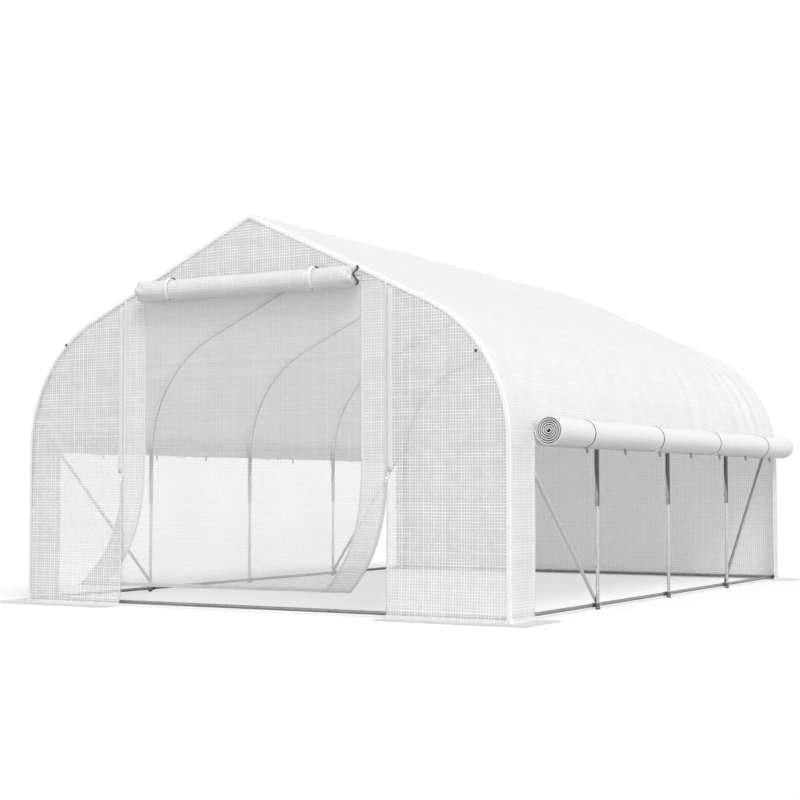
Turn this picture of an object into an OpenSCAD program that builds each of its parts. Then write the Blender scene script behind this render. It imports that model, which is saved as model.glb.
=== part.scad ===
// Walk-in tunnel greenhouse: hoops of galvanised tube under a woven plastic cover,
// with the side curtains and the front door rolled up and tied.
// Millimetres. Origin on the ground at the middle of the footprint, +Z up, front towards -Y.

/* [Tunnel] */
// Width over the hoops
tunnel_w = 3000; // [2600:10:3600]
// Length over the end hoops
tunnel_l = 4240; // [3400:10:6400]
// Height of the hoops at the ridge
ridge_h = 2060; // [1960:10:2300]
// Height where the legs start to bend
leg_h = 860; // [760:10:940]
// Outside radius of the shoulder bends
bend_r = 775; // [600:5:850]
// Number of bays along the length
bays = 4; // [3:1:6]

/* [Frame tubes] */
// Diameter of the bends and rafters
arch_d = 25; // [23:0.5:30]
// Diameter of the legs
leg_d = 19; // [15:0.5:20]
// Diameter of the rails, braces and ridge pole
rail_d = 19; // [15:0.5:22]
// Wall of every tube
tube_wall = 1.2; // [0.8:0.1:1.6]
// Height of the lower end of the bends
swage_z = 540; // [400:10:620]
// Length of the taper at the lower end of the bends
swage_l = 40; // [20:1:80]
// Length of leg that slides up into a bend
leg_insert = 120; // [60:5:180]
// Length of the rafters' spigots in the bends
rafter_spigot = 20; // [10:1:20]
// Length of each arm of the peak connectors
peak_arm = 45; // [30:1:80]
// Length of the peak connectors' spigots in the rafters
peak_spigot = 70; // [40:1:100]
// Wall of the rings that hold the ridge pole
ridge_ring_wall = 3; // [2:0.5:5]
// Gap between pieces that seat on each other
fit = 0.3; // [0.2:0.05:0.4]

/* [Base] */
// Height of the foot caps
foot_h = 10; // [8:1:20]
// Thickness of the foot caps under the legs
foot_base = 3; // [2:0.5:6]
// Height of the base clamps on the legs
clamp_h = 20; // [16:1:32]
// Gap between the foot caps and the base clamps
clamp_gap = 2; // [1:0.5:20]
// Gap between a leg and its rail inside a base clamp
clamp_web = 2; // [1.5:0.5:4]
// Wall of the base clamps round the rails
clamp_wall = 2.7; // [2:0.1:4]

/* [Braces] */
// Height of the braces on the end hoops
brace_top = 1010; // [700:5:1100]
// Gap between the base clamps and the braces' lower ends
brace_gap = 1.5; // [1:0.5:80]
// Length of the flattened ends of the braces
lug_l = 45; // [40:1:70]
// Width of the flattened ends of the braces
lug_w = 24; // [20:1:28]
// Thickness of the flattened ends of the braces
lug_t = 5; // [3:0.5:8]

/* [Cover] */
// Thickness of the cover sheets
sheet_t = 3; // [2:0.5:5]
// Width of the fixed strips at the front corners
front_strip_w = 260; // [120:5:400]
// Width of the fixed strips at the rear corners
rear_strip_w = 110; // [60:5:300]
// How far the roof cover hangs below the start of the bends
eave_drop = 20; // [10:1:60]
// Width of the skirts on the ground
skirt_w = 150; // [130:5:300]

/* [Doorway] */
// Width of the doorway between the front panels
door_w = 1664; // [1200:4:1900]
// Height of the gable's lower edge
door_h = 1650; // [1500:10:1760]
// Gap at the zips beside the screen
zip_gap = 3; // [2:0.5:6]
// Width of the cloth bands at the sides of the screen
band_w = 155; // [60:5:200]
// Thickness of the screen and its bands
screen_t = 2; // [1:0.5:3]
// Height of the screen's lower edge
screen_foot = 110; // [80:5:200]
// Height below which the screen is swept aside
sway_z = 690; // [500:10:1000]
// How far the lower edge is swept to the left
sway_x = 340; // [200:5:400]
// How far the lower left corner is swept inwards
sway_left = 40; // [30:5:100]
// How far the lower right corner is swept inwards
sway_right = 240; // [100:5:300]
// How quickly the sweep grows towards the lower edge
sway_power = 2.4; // [2:0.1:3]

/* [Rolls] */
// Diameter of the rolled side curtains
side_roll_d = 150; // [120:1:156]
// Height of the side rolls' axis above the start of the bends
side_roll_rise = 55; // [20:1:80]
// Windings in each side roll
side_roll_turns = 6; // [4:1:7]
// Diameter of the rolled door
door_roll_d = 122; // [100:1:130]
// Length of the rolled door
door_roll_l = 1400; // [1000:10:1500]
// Height of the door roll's axis above the gable's lower edge
door_roll_rise = 36; // [10:1:60]
// Windings in the door roll
door_roll_turns = 5; // [3:1:5]
// Diameter of the open core of the rolls
core_d = 14; // [8:1:24]
// Thickness of one winding of cloth
ply_t = 6; // [3:0.5:7]
// Width of the tie straps
strap_w = 25; // [15:1:40]
// Thickness of the tie straps
strap_t = 2; // [1:0.5:3]
// Straps on each side roll
strap_count = 4; // [2:1:6]
// Distance of the first strap from the front end of a side roll
strap_front = 400; // [200:10:600]
// Distance of the last strap from the rear end of a side roll
strap_rear = 570; // [200:10:700]
// Distance of the door roll's straps from the middle
door_strap_x = 450; // [200:10:480]

/* [Hidden] */
$fn = 48;
// How far a cutting tool runs past what it cuts
cut = 1;
steel = "silver";
cloth = "whitesmoke";
mesh_grey = "lightgray";
plastic = "dimgray";

// Outline of the hoops: vertical legs, round shoulders and straight rafters
half_w = tunnel_w / 2;
half_l = tunnel_l / 2;
bend_x = half_w - bend_r;
apex_rise = ridge_h - leg_h;
bend_angle = atan2(apex_rise, -bend_x) - acos(bend_r / norm([bend_x, apex_rise]));
pitch = 90 - bend_angle;
arch_r = arch_d / 2;
bend_mid_r = bend_r - arch_r;
leg_x = half_w - arch_r;
apex_z = ridge_h - arch_r / cos(pitch);
rafter_span = norm([bend_x + bend_mid_r * cos(bend_angle),
                    apex_z - leg_h - bend_mid_r * sin(bend_angle)]);
rafter_l = rafter_span - peak_arm;
bay = (tunnel_l - arch_d) / bays;

// Tube joints
bore_r = arch_r - tube_wall;
spigot_r = bore_r - fit;
leg_bore_r = leg_d / 2 + fit;
rail_bore_r = rail_d / 2 + fit;
ridge_ring_r = rail_bore_r + ridge_ring_wall;
ridge_z = apex_z - arch_r / cos(pitch) - ridge_ring_r + ridge_ring_wall;

// Base rails lie inside the legs, at the height of the clamps, and the braces end above them
clamp_ring_r = rail_bore_r + clamp_wall;
rail_z = foot_h + clamp_gap + clamp_h / 2;
brace_foot = rail_z + max(clamp_h / 2, clamp_ring_r) + brace_gap + lug_w / 2;
rail_x = leg_x - leg_d / 2 - clamp_web - rail_d / 2;
end_rail_y = half_l - arch_d - fit - rail_d / 2;

// The cover lies just outside the hoops
cover_in = fit;
cover_out = fit + sheet_t;
eave_z = leg_h - eave_drop;
shoulder_steps = 20;

// Screen
screen_rows = 8;
screen_w = door_w - 2 * zip_gap;
screen_y = -half_l - cover_out;
behind_panel = sheet_t + 2 * fit;

// Rolls hang on their straps in front of the cloth that they belong to
side_roll_r = side_roll_d / 2;
door_roll_r = door_roll_d / 2;
side_strap_r = side_roll_r + fit + strap_t;
door_strap_r = door_roll_r + fit + strap_t;
side_roll_z = leg_h + side_roll_rise;
side_roll_reach = bend_r + cover_out + fit + side_strap_r;
side_roll_x = bend_x + sqrt(pow(side_roll_reach, 2) - pow(side_roll_rise, 2));
side_roll_front = -half_l + front_strip_w;
side_roll_l = tunnel_l - front_strip_w - rear_strip_w;
strap_pitch = (side_roll_l - strap_front - strap_rear) / (strap_count - 1);
door_roll_y = -half_l - cover_out - fit - door_strap_r;
door_roll_z = door_h + door_roll_rise;

// Place of hoop k along the length
function hoop_y(k) = -half_l + arch_r + k * bay;

// Distance of a hoop's centre line from the middle at a height on its leg or bend
function hoop_x(z) = z <= leg_h ? leg_x : bend_x + sqrt(pow(bend_mid_r, 2) - pow(z - leg_h, 2));

// Point where a line parallel to the hoops, d outside them, leaves the bend
function shoulder(d) = [bend_x + (bend_r + d) * cos(bend_angle),
                        leg_h + (bend_r + d) * sin(bend_angle)];

// Height of a line parallel to the hoops, d outside them, at the ridge
function ridge(d) = ridge_h + d / cos(pitch);

module on_side(side) {
    mirror([side < 0 ? 1 : 0, 0, 0]) children();
}

module on_end(end) {
    mirror([0, end > 0 ? 1 : 0, 0]) children();
}

module on_hoops() {
    for (k = [0:bays]) translate([0, hoop_y(k), 0]) children();
}

module tube_section(d) {
    difference() {
        circle(d = d);
        circle(d = d - 2 * tube_wall);
    }
}

module tube(d, l) {
    linear_extrude(height = l) tube_section(d);
}

// A flat outline drawn in X and Z, l long along Y and centred there
module along_y(l) {
    rotate([90, 0, 0]) linear_extrude(height = l, center = true) children();
}

// Legs stand in their foot caps and slide into the bends
module legs(side) {
    on_side(side) on_hoops() translate([leg_x, 0, foot_base])
        tube(leg_d, swage_z + leg_insert - foot_base);
}

// One bend: a straight lower length, drawn in at its end, and the round shoulder
module bend() {
    translate([leg_x, 0, swage_z]) rotate_extrude() polygon([
        [leg_bore_r, 0],
        [leg_bore_r + tube_wall, 0],
        [arch_r, swage_l],
        [arch_r, leg_h - swage_z],
        [bore_r, leg_h - swage_z],
        [bore_r, swage_l]
    ]);
    translate([bend_x, 0, leg_h]) rotate([90, 0, 0]) rotate_extrude(angle = bend_angle)
        translate([bend_mid_r, 0]) tube_section(arch_d);
}

module bends(side) {
    on_side(side) on_hoops() bend();
}

// One rafter: a tube whose lower end is drawn down to a spigot in the bend
module rafter() {
    inner_r = spigot_r - tube_wall;
    neck = rafter_l - 2 * tube_wall;
    rotate_extrude() polygon([
        [bore_r, 0],
        [arch_r, 0],
        [arch_r, rafter_l],
        [spigot_r, rafter_l],
        [spigot_r, rafter_l + rafter_spigot],
        [inner_r, rafter_l + rafter_spigot],
        [inner_r, neck],
        [bore_r, neck]
    ]);
}

module down_the_roof() {
    translate([0, 0, apex_z]) rotate([0, 90 + pitch, 0]) children();
}

module rafters(side) {
    on_side(side) on_hoops() down_the_roof() translate([0, 0, peak_arm]) rafter();
}

// One arm of a peak connector with its spigot, mitred at the middle
module peak_half() {
    reach = arch_d + peak_arm + peak_spigot;
    intersection() {
        down_the_roof() rotate_extrude() polygon([
            [0, -arch_d],
            [arch_r, -arch_d],
            [arch_r, peak_arm],
            [spigot_r, peak_arm],
            [spigot_r, peak_arm + peak_spigot],
            [0, peak_arm + peak_spigot]
        ]);
        translate([0, -arch_d, apex_z - reach]) cube([reach, 2 * arch_d, 2 * reach]);
    }
}

// A peak connector: two arms with spigots for the rafters and a ring for the ridge pole
module peak_connector() {
    difference() {
        union() {
            for (side = [-1, 1]) on_side(side) peak_half();
            translate([0, 0, ridge_z]) along_y(arch_d) circle(r = ridge_ring_r);
        }
        translate([0, 0, ridge_z]) along_y(arch_d + 2 * cut) circle(r = rail_bore_r);
    }
}

// Brace from an end hoop down to the next one, with flattened ends against the tubes
module brace(side, end) {
    top = [hoop_x(brace_top + lug_w / 2) - arch_r - fit - lug_t / 2, hoop_y(0), brace_top];
    foot = [leg_x - leg_d / 2 - fit - lug_t / 2, hoop_y(1), brace_foot];
    run = foot - top;
    length = norm(run);
    on_side(side) on_end(end) translate(top) rotate([0, acos(run.z / length), atan2(run.y, run.x)]) {
        translate([0, 0, lug_l]) tube(rail_d, length - 2 * lug_l);
        for (z = [0, length]) {
            translate([0, 0, z]) rotate([90, 0, 0])
                cylinder(d = lug_w, h = lug_t, center = true);
            translate([-lug_w / 2, -lug_t / 2, z == 0 ? 0 : length - lug_l - lug_w / 2])
                cube([lug_w, lug_t, lug_l + lug_w / 2]);
        }
    }
}

// A base clamp: a sleeve on the leg and one on the rail beside it
module base_clamp() {
    difference() {
        union() {
            translate([leg_x, 0, rail_z]) cylinder(r = arch_r, h = clamp_h, center = true);
            translate([rail_x, 0, rail_z]) along_y(arch_d) circle(r = clamp_ring_r);
        }
        translate([leg_x, 0, rail_z])
            cylinder(r = leg_bore_r, h = clamp_h + 2 * cut, center = true);
        translate([rail_x, 0, rail_z]) along_y(arch_d + 2 * cut) circle(r = rail_bore_r);
    }
}

module foot_cap() {
    difference() {
        cylinder(r = arch_r, h = foot_h);
        translate([0, 0, foot_base]) cylinder(r = leg_bore_r, h = foot_h);
    }
}

module base_rail(side) {
    on_side(side) translate([rail_x, -half_l, rail_z]) rotate([-90, 0, 0])
        tube(rail_d, tunnel_l);
}

// Rail across an end, with its ends shaped to the side rails
module end_rail(end) {
    on_end(end) difference() {
        translate([-rail_x, -end_rail_y, rail_z]) rotate([0, 90, 0]) tube(rail_d, 2 * rail_x);
        for (x = [-rail_x, rail_x])
            translate([x, -end_rail_y, rail_z]) along_y(2 * rail_d) circle(r = rail_bore_r);
    }
}

// Part of a disc about a bend's centre, from level up to the rafter
module bend_sector(r) {
    reach = 2 * r;
    translate([bend_x, leg_h]) intersection() {
        circle(r = r);
        polygon([[0, 0], [reach, 0], [reach * cos(bend_angle), reach * sin(bend_angle)]]);
    }
}

// Outline of the end walls: down the left side, along the ground and up the right side
module hoop_outline() {
    shoulder_points = [for (i = [0:shoulder_steps])
        let (angle = bend_angle * i / shoulder_steps)
        [bend_x + bend_r * cos(angle), leg_h + bend_r * sin(angle)]];
    polygon(concat(
        [[0, ridge_h]],
        [for (i = [shoulder_steps:-1:0]) [-shoulder_points[i].x, shoulder_points[i].y]],
        [[-half_w, 0], [half_w, 0]],
        shoulder_points
    ));
}

module end_sheet(end) {
    on_end(end) translate([0, -half_l - cover_in - sheet_t / 2, 0]) along_y(sheet_t)
        intersection() {
            hoop_outline();
            children();
        }
}

module front_panel(side) {
    on_side(side) end_sheet(-1) translate([door_w / 2, 0]) square([half_w, door_h]);
}

module roof_slope(side) {
    on_side(side) along_y(tunnel_l + 2 * cover_out) polygon([
        [0, ridge(cover_in)], [0, ridge(cover_out)], shoulder(cover_out), shoulder(cover_in)
    ]);
}

module roof_shoulder(side) {
    on_side(side) along_y(tunnel_l + 2 * cover_out) {
        difference() {
            bend_sector(bend_r + cover_out);
            translate([bend_x, leg_h]) circle(r = bend_r + cover_in);
        }
        translate([half_w + cover_in, eave_z]) square([sheet_t, eave_drop]);
    }
}

module corner_strip(side, end, w) {
    on_side(side) on_end(end) translate([half_w + cover_in, -half_l - cover_out, 0])
        cube([sheet_t, w + cover_out, eave_z]);
}

// Skirts lie on the ground outside the fixed panels
module front_skirt(side) {
    on_side(side) translate([door_w / 2, -half_l - cover_out - skirt_w, 0])
        cube([half_w + cover_out + skirt_w - door_w / 2, skirt_w, sheet_t]);
}

module side_skirt(side, end, w) {
    on_side(side) on_end(end) translate([half_w + cover_out, -half_l - cover_out, 0])
        cube([skirt_w, w + cover_out, sheet_t]);
}

// Cloth wound from an open core to radius r, its free end at the angle given
module winding(r, turns, free_end, sense) {
    sweep = 360 * turns;
    steps = 20 * turns;
    growth = r - ply_t - core_d / 2;
    function radius(i) = core_d / 2 + growth * i / steps;
    function heading(i) = free_end + sense * sweep * (1 - i / steps);
    function at(rad, i) = [rad * cos(heading(i)), rad * sin(heading(i))];
    polygon(concat(
        [for (i = [0:steps]) at(radius(i) + ply_t, i)],
        [for (i = [steps:-1:0]) at(radius(i), i)]
    ));
}

module side_roll(side) {
    on_side(side) translate([side_roll_x, side_roll_front + side_roll_l / 2, side_roll_z])
        along_y(side_roll_l) winding(side_roll_r, side_roll_turns, 180, 1);
}

module strap_loop(r) {
    difference() {
        circle(r = r + fit + strap_t);
        circle(r = r + fit);
    }
}

module roll_straps(side) {
    on_side(side) for (i = [0:strap_count - 1])
        translate([side_roll_x, side_roll_front + strap_front + i * strap_pitch, side_roll_z])
            along_y(strap_w) strap_loop(side_roll_r);
}

// A flat outline drawn in Y and Z, l long along X and centred there
module along_x(l) {
    rotate([90, 0, 90]) linear_extrude(height = l, center = true) children();
}

// Top edge of the screen: the gable's lower edge, or the roof line where that is lower
function screen_top(x) = min(door_h, ridge_h - abs(x) * tan(pitch) - fit);

// Share of the sweep reached at a height, from 0 at its start to 1 at the lower edge
function swept(z) = max(0, (sway_z - z) / (sway_z - screen_foot));

// A point of the screen: x along its top edge, row down from it, back 0 or 1
function screen_point(x, row, back) =
    let (z = row == 0 ? screen_top(x) : sway_z - (sway_z - screen_foot) * (row - 1) / screen_rows)
    let (s = swept(z), share = x / screen_w + 0.5)
    let (inwards = behind_panel * min(1, s * screen_rows)
                 + (sway_left + (sway_right - sway_left) * share) * pow(s, sway_power))
    [x - sway_x * pow(s, sway_power), screen_y + inwards + back * screen_t, z];

// A width of the hanging screen, split into columns
module screen_cloth(x_from, x_to, columns) {
    across = columns + 1;
    down = screen_rows + 2;
    function id(back, row, col) = (back * down + row) * across + col;
    function quad(a, b, c, d) = [[a, b, c], [a, c, d]];
    points = [for (back = [0, 1], row = [0:down - 1], col = [0:columns])
        screen_point(x_from + (x_to - x_from) * col / columns, row, back)];
    faces = concat(
        [for (r = [0:down - 2], c = [0:columns - 1])
            each quad(id(0, r, c), id(0, r, c + 1), id(0, r + 1, c + 1), id(0, r + 1, c))],
        [for (r = [0:down - 2], c = [0:columns - 1])
            each quad(id(1, r, c), id(1, r + 1, c), id(1, r + 1, c + 1), id(1, r, c + 1))],
        [for (r = [0:down - 2])
            each quad(id(0, r, 0), id(0, r + 1, 0), id(1, r + 1, 0), id(1, r, 0))],
        [for (r = [0:down - 2])
            each quad(id(0, r, columns), id(1, r, columns), id(1, r + 1, columns),
                      id(0, r + 1, columns))],
        [for (c = [0:columns - 1])
            each quad(id(0, 0, c), id(1, 0, c), id(1, 0, c + 1), id(0, 0, c + 1))],
        [for (c = [0:columns - 1])
            each quad(id(0, down - 1, c), id(0, down - 1, c + 1), id(1, down - 1, c + 1),
                      id(1, down - 1, c))]
    );
    polyhedron(points = points, faces = faces);
}

module left_legs() { color(steel) legs(-1); }
module right_legs() { color(steel) legs(1); }
module left_bends() { color(steel) bends(-1); }
module right_bends() { color(steel) bends(1); }
module left_rafters() { color(steel) rafters(-1); }
module right_rafters() { color(steel) rafters(1); }
module peak_connectors() { color(steel) on_hoops() peak_connector(); }

module ridge_pole() {
    color(steel) for (k = [0:bays - 1])
        translate([0, hoop_y(k) + fit, ridge_z]) rotate([-90, 0, 0]) tube(rail_d, bay - 2 * fit);
}

module left_base_rail() { color(steel) base_rail(-1); }
module right_base_rail() { color(steel) base_rail(1); }
module front_base_rail() { color(steel) end_rail(-1); }
module rear_base_rail() { color(steel) end_rail(1); }
module left_base_clamps() { color(plastic) on_side(-1) on_hoops() base_clamp(); }
module right_base_clamps() { color(plastic) on_side(1) on_hoops() base_clamp(); }

module foot_caps() {
    color(plastic) for (x = [-leg_x, leg_x]) on_hoops() translate([x, 0, 0]) foot_cap();
}

module left_front_brace() { color(steel) brace(-1, -1); }
module left_rear_brace() { color(steel) brace(-1, 1); }
module right_front_brace() { color(steel) brace(1, -1); }
module right_rear_brace() { color(steel) brace(1, 1); }
module roof_left_slope() { color(cloth) roof_slope(-1); }
module roof_right_slope() { color(cloth) roof_slope(1); }
module roof_left_shoulder() { color(cloth) roof_shoulder(-1); }
module roof_right_shoulder() { color(cloth) roof_shoulder(1); }
module front_left_strip() { color(cloth) corner_strip(-1, -1, front_strip_w); }
module front_right_strip() { color(cloth) corner_strip(1, -1, front_strip_w); }
module rear_left_strip() { color(cloth) corner_strip(-1, 1, rear_strip_w); }
module rear_right_strip() { color(cloth) corner_strip(1, 1, rear_strip_w); }

module front_gable() {
    color(cloth) end_sheet(-1) translate([-half_w, door_h]) square([tunnel_w, ridge_h]);
}

module front_left_panel() { color(cloth) front_panel(-1); }
module front_right_panel() { color(cloth) front_panel(1); }
module rear_wall() { color(cloth) end_sheet(1) translate([-half_w, 0]) square([tunnel_w, ridge_h]); }
module front_skirts() { color(cloth) for (side = [-1, 1]) front_skirt(side); }

module rear_skirt() {
    w = tunnel_w + 2 * (cover_out + skirt_w);
    color(cloth) translate([-w / 2, half_l + cover_out, 0]) cube([w, skirt_w, sheet_t]);
}

module side_skirts() {
    color(cloth) for (side = [-1, 1]) {
        side_skirt(side, -1, front_strip_w);
        side_skirt(side, 1, rear_strip_w);
    }
}

module door_roll() {
    color(cloth) translate([0, door_roll_y, door_roll_z])
        along_x(door_roll_l) winding(door_roll_r, door_roll_turns, 0, -1);
}

module door_roll_straps() {
    color(cloth) for (x = [-door_strap_x, door_strap_x])
        translate([x, door_roll_y, door_roll_z]) along_x(strap_w) strap_loop(door_roll_r);
}

module screen_door() {
    color(mesh_grey) screen_cloth(band_w - screen_w / 2, screen_w / 2 - band_w, 6);
}

module left_zip_band() { color(cloth) screen_cloth(-screen_w / 2, band_w - screen_w / 2, 1); }
module right_zip_band() { color(cloth) screen_cloth(screen_w / 2 - band_w, screen_w / 2, 1); }
module left_side_roll() { color(cloth) side_roll(-1); }
module right_side_roll() { color(cloth) side_roll(1); }
module left_roll_straps() { color(cloth) roll_straps(-1); }
module right_roll_straps() { color(cloth) roll_straps(1); }

left_legs();
right_legs();
left_bends();
right_bends();
left_rafters();
right_rafters();
peak_connectors();
ridge_pole();
left_base_rail();
right_base_rail();
front_base_rail();
rear_base_rail();
left_base_clamps();
right_base_clamps();
foot_caps();
left_front_brace();
left_rear_brace();
right_front_brace();
right_rear_brace();
roof_left_slope();
roof_right_slope();
roof_left_shoulder();
roof_right_shoulder();
front_left_strip();
front_right_strip();
rear_left_strip();
rear_right_strip();
front_gable();
front_left_panel();
front_right_panel();
rear_wall();
front_skirts();
rear_skirt();
side_skirts();
door_roll();
door_roll_straps();
screen_door();
left_zip_band();
right_zip_band();
left_side_roll();
right_side_roll();
left_roll_straps();
right_roll_straps();
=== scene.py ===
# Looks for the walk-in tunnel greenhouse: woven cover, net door, rolled curtains, galvanised hoops.
# Metres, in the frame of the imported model: front towards -Y, +Z up, ground at zero.
import math

import bmesh
import bpy
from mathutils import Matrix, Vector, noise


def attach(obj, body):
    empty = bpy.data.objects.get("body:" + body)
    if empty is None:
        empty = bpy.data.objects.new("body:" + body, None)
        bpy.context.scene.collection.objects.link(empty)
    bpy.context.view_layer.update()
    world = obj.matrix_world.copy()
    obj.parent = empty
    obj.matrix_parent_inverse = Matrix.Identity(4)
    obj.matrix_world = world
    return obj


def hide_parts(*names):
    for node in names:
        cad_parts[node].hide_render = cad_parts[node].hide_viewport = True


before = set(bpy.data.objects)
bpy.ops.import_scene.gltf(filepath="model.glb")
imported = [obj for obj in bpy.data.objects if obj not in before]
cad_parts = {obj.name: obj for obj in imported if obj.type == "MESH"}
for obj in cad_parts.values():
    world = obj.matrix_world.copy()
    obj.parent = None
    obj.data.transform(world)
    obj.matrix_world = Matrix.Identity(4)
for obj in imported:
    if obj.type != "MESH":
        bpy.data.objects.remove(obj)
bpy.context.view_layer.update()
print("frame loaded,", len(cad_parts), "nodes")

tunnel = {
    "halfWidth": 1.5,  # over the hoops
    "halfLength": 2.12,
    "ridge": 2.06,
    "legTop": 0.86,
    "bendRadius": 0.775,
    "bays": 4,
    "tube": 0.025,
}
bendX = tunnel["halfWidth"] - tunnel["bendRadius"]
apexRise = tunnel["ridge"] - tunnel["legTop"]
bendAngle = math.atan2(apexRise, -bendX) - math.acos(tunnel["bendRadius"] / math.hypot(bendX, apexRise))
roofPitch = math.pi / 2 - bendAngle
bay = (2 * tunnel["halfLength"] - tunnel["tube"]) / tunnel["bays"]
hoopPlaces = [-tunnel["halfLength"] + tunnel["tube"] / 2 + k * bay for k in range(tunnel["bays"] + 1)]


# Node helpers, for shaders and for geometry

def feed(tree, socket, value):
    if isinstance(value, bpy.types.NodeSocket):
        tree.links.new(value, socket)
    else:
        socket.default_value = value


def addNode(tree, kind, inputs=None, **settings):
    node = tree.nodes.new(kind)
    node.location = (180 * (len(tree.nodes) % 12), -220 * (len(tree.nodes) // 12))
    for key, value in settings.items():
        setattr(node, key, value)
    for name, value in (inputs or {}).items():
        feed(tree, node.inputs[name], value)
    return node


def calc(tree, operation, *values):
    node = addNode(tree, "ShaderNodeMath", operation=operation)
    for socket, value in zip(node.inputs, values):
        feed(tree, socket, value)
    return node.outputs[0]


def ramp(tree, value, low, high, first=0.0, last=1.0):
    node = addNode(tree, "ShaderNodeMapRange", interpolation_type="SMOOTHSTEP")
    for socket, given in zip(node.inputs, (value, low, high, first, last)):
        feed(tree, socket, given)
    return node.outputs[0]


def wave(tree, value, pitch):
    return calc(tree, "SINE", calc(tree, "MULTIPLY", value, 2 * math.pi / pitch))


def splitAxes(tree, vector):
    return addNode(tree, "ShaderNodeSeparateXYZ", {"Vector": vector}).outputs


def joinAxes(tree, **axes):
    return addNode(tree, "ShaderNodeCombineXYZ", axes).outputs[0]


def blendColours(tree, share, first, second):
    node = addNode(tree, "ShaderNodeMix", data_type="RGBA")
    for place, value in ((0, share), (6, first), (7, second)):
        feed(tree, node.inputs[place], value)
    return node.outputs[2]


def mixShaders(tree, share, first, second):
    return addNode(tree, "ShaderNodeMixShader", {0: share, 1: first, 2: second}).outputs[0]


def grey(value, warmth=0.0):
    return (value + warmth, value, value - warmth, 1.0)


def newMaterial(name):
    material = bpy.data.materials.new(name)
    material.use_nodes = True
    material.node_tree.nodes.clear()
    return material, material.node_tree


def coat(material, surface):
    addNode(material.node_tree, "ShaderNodeOutputMaterial", {"Surface": surface})
    return material


def objectPlace(tree):
    return addNode(tree, "ShaderNodeTexCoord").outputs["Object"]


def objectNoise(tree, scale, detail=3.0):
    inputs = {"Vector": objectPlace(tree), "Scale": scale, "Detail": detail}
    return addNode(tree, "ShaderNodeTexNoise", inputs).outputs["Fac"]


def clothMap(tree):
    return addNode(tree, "ShaderNodeUVMap", uv_map="cloth").outputs["UV"]


def surfaceNormal(tree):
    return addNode(tree, "ShaderNodeNewGeometry").outputs["Normal"]


def bumped(tree, height, strength, distance):
    inputs = {"Strength": strength, "Distance": distance, "Height": height}
    return addNode(tree, "ShaderNodeBump", inputs).outputs["Normal"]


def painted(tree, colour, rough, normal, specular=0.5, **more):
    inputs = {"Base Color": colour, "Roughness": rough, "Normal": normal, "Specular IOR Level": specular}
    return addNode(tree, "ShaderNodeBsdfPrincipled", {**inputs, **more}).outputs[0]


# Materials

threadGrid = {
    "pitch": 0.0148,
    "thread": 0.0054,
    "soft": 0.0012,
    "uneven": 0.5,  # no two threads are equally close
    "patchy": 0.25,
    "tape": 0.0024,  # pitch of the fine weave under the grid
}
netGrid = {"pitch": 0.0032, "thread": 0.0012, "soft": 0.00024, "uneven": 0.3}
netRibs = {"pitch": 0.0112, "thread": 0.004, "soft": 0.001, "uneven": 0.6}
webbing = {"rib": 0.0022, "cord": 0.004}


def threadLines(tree, uv, grid):
    # One on the threads of a square grid, less where a thread is loose
    place = splitAxes(tree, uv)
    half, soft = grid["thread"] / 2, grid["soft"]
    lines = []
    for axis, start in (("X", 0.5), ("Y", 40.5)):
        away = calc(tree, "PINGPONG", place[axis], grid["pitch"] / 2)
        line = ramp(tree, away, half - soft, half + soft, 1.0, 0.0)
        which = calc(tree, "FLOOR", calc(tree, "MULTIPLY_ADD", place[axis], 1 / grid["pitch"], start))
        chance = addNode(tree, "ShaderNodeTexWhiteNoise", {"W": which}, noise_dimensions="1D")
        close = calc(tree, "MULTIPLY_ADD", chance.outputs["Value"], grid["uneven"], 1 - grid["uneven"])
        lines.append(calc(tree, "MULTIPLY", line, close))
    return calc(tree, "MAXIMUM", *lines)


def wovenCloth(name, cell, thread, rough, glow, hides=(1.0, 1.0)):
    # Woven tape film with a reinforcing grid: the threads are whiter and closer than the cells.
    # hides says how much the cells and the threads cover of what lies behind
    material, tree = newMaterial(name)
    uv = clothMap(tree)
    worn = ramp(tree, objectNoise(tree, 20.0, 2.0), 0.38, 0.62, 1 - threadGrid["patchy"], 1.0)
    lines = calc(tree, "MULTIPLY", threadLines(tree, uv, threadGrid), worn)
    cloudy = ramp(tree, objectNoise(tree, 2.2), 0.3, 0.7)
    film = blendColours(tree, cloudy, grey(cell * 0.97), grey(cell))
    colour = blendColours(tree, lines, film, grey(thread))
    axes = splitAxes(tree, uv)
    weave = calc(tree, "MULTIPLY", *[wave(tree, axes[axis], threadGrid["tape"]) for axis in "XY"])
    height = calc(tree, "MULTIPLY_ADD", weave, 0.12, calc(tree, "MULTIPLY", lines, 0.8))
    normal = bumped(tree, height, 0.55, 0.0006)
    shine = ramp(tree, objectNoise(tree, 9.0), 0.2, 0.8, rough - 0.06, rough + 0.06)
    face = painted(tree, colour, shine, normal, specular=0.35)
    through = addNode(tree, "ShaderNodeBsdfTranslucent", {"Color": colour, "Normal": normal}).outputs[0]
    surface = mixShaders(tree, ramp(tree, lines, 0.0, 1.0, glow, glow * 0.55), face, through)
    if hides[1] < 1:
        closed = ramp(tree, lines, 0.0, 1.0, *hides)
        clear = addNode(tree, "ShaderNodeBsdfTransparent").outputs[0]
        surface = mixShaders(tree, closed, clear, surface)
    return coat(material, surface)


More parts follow.
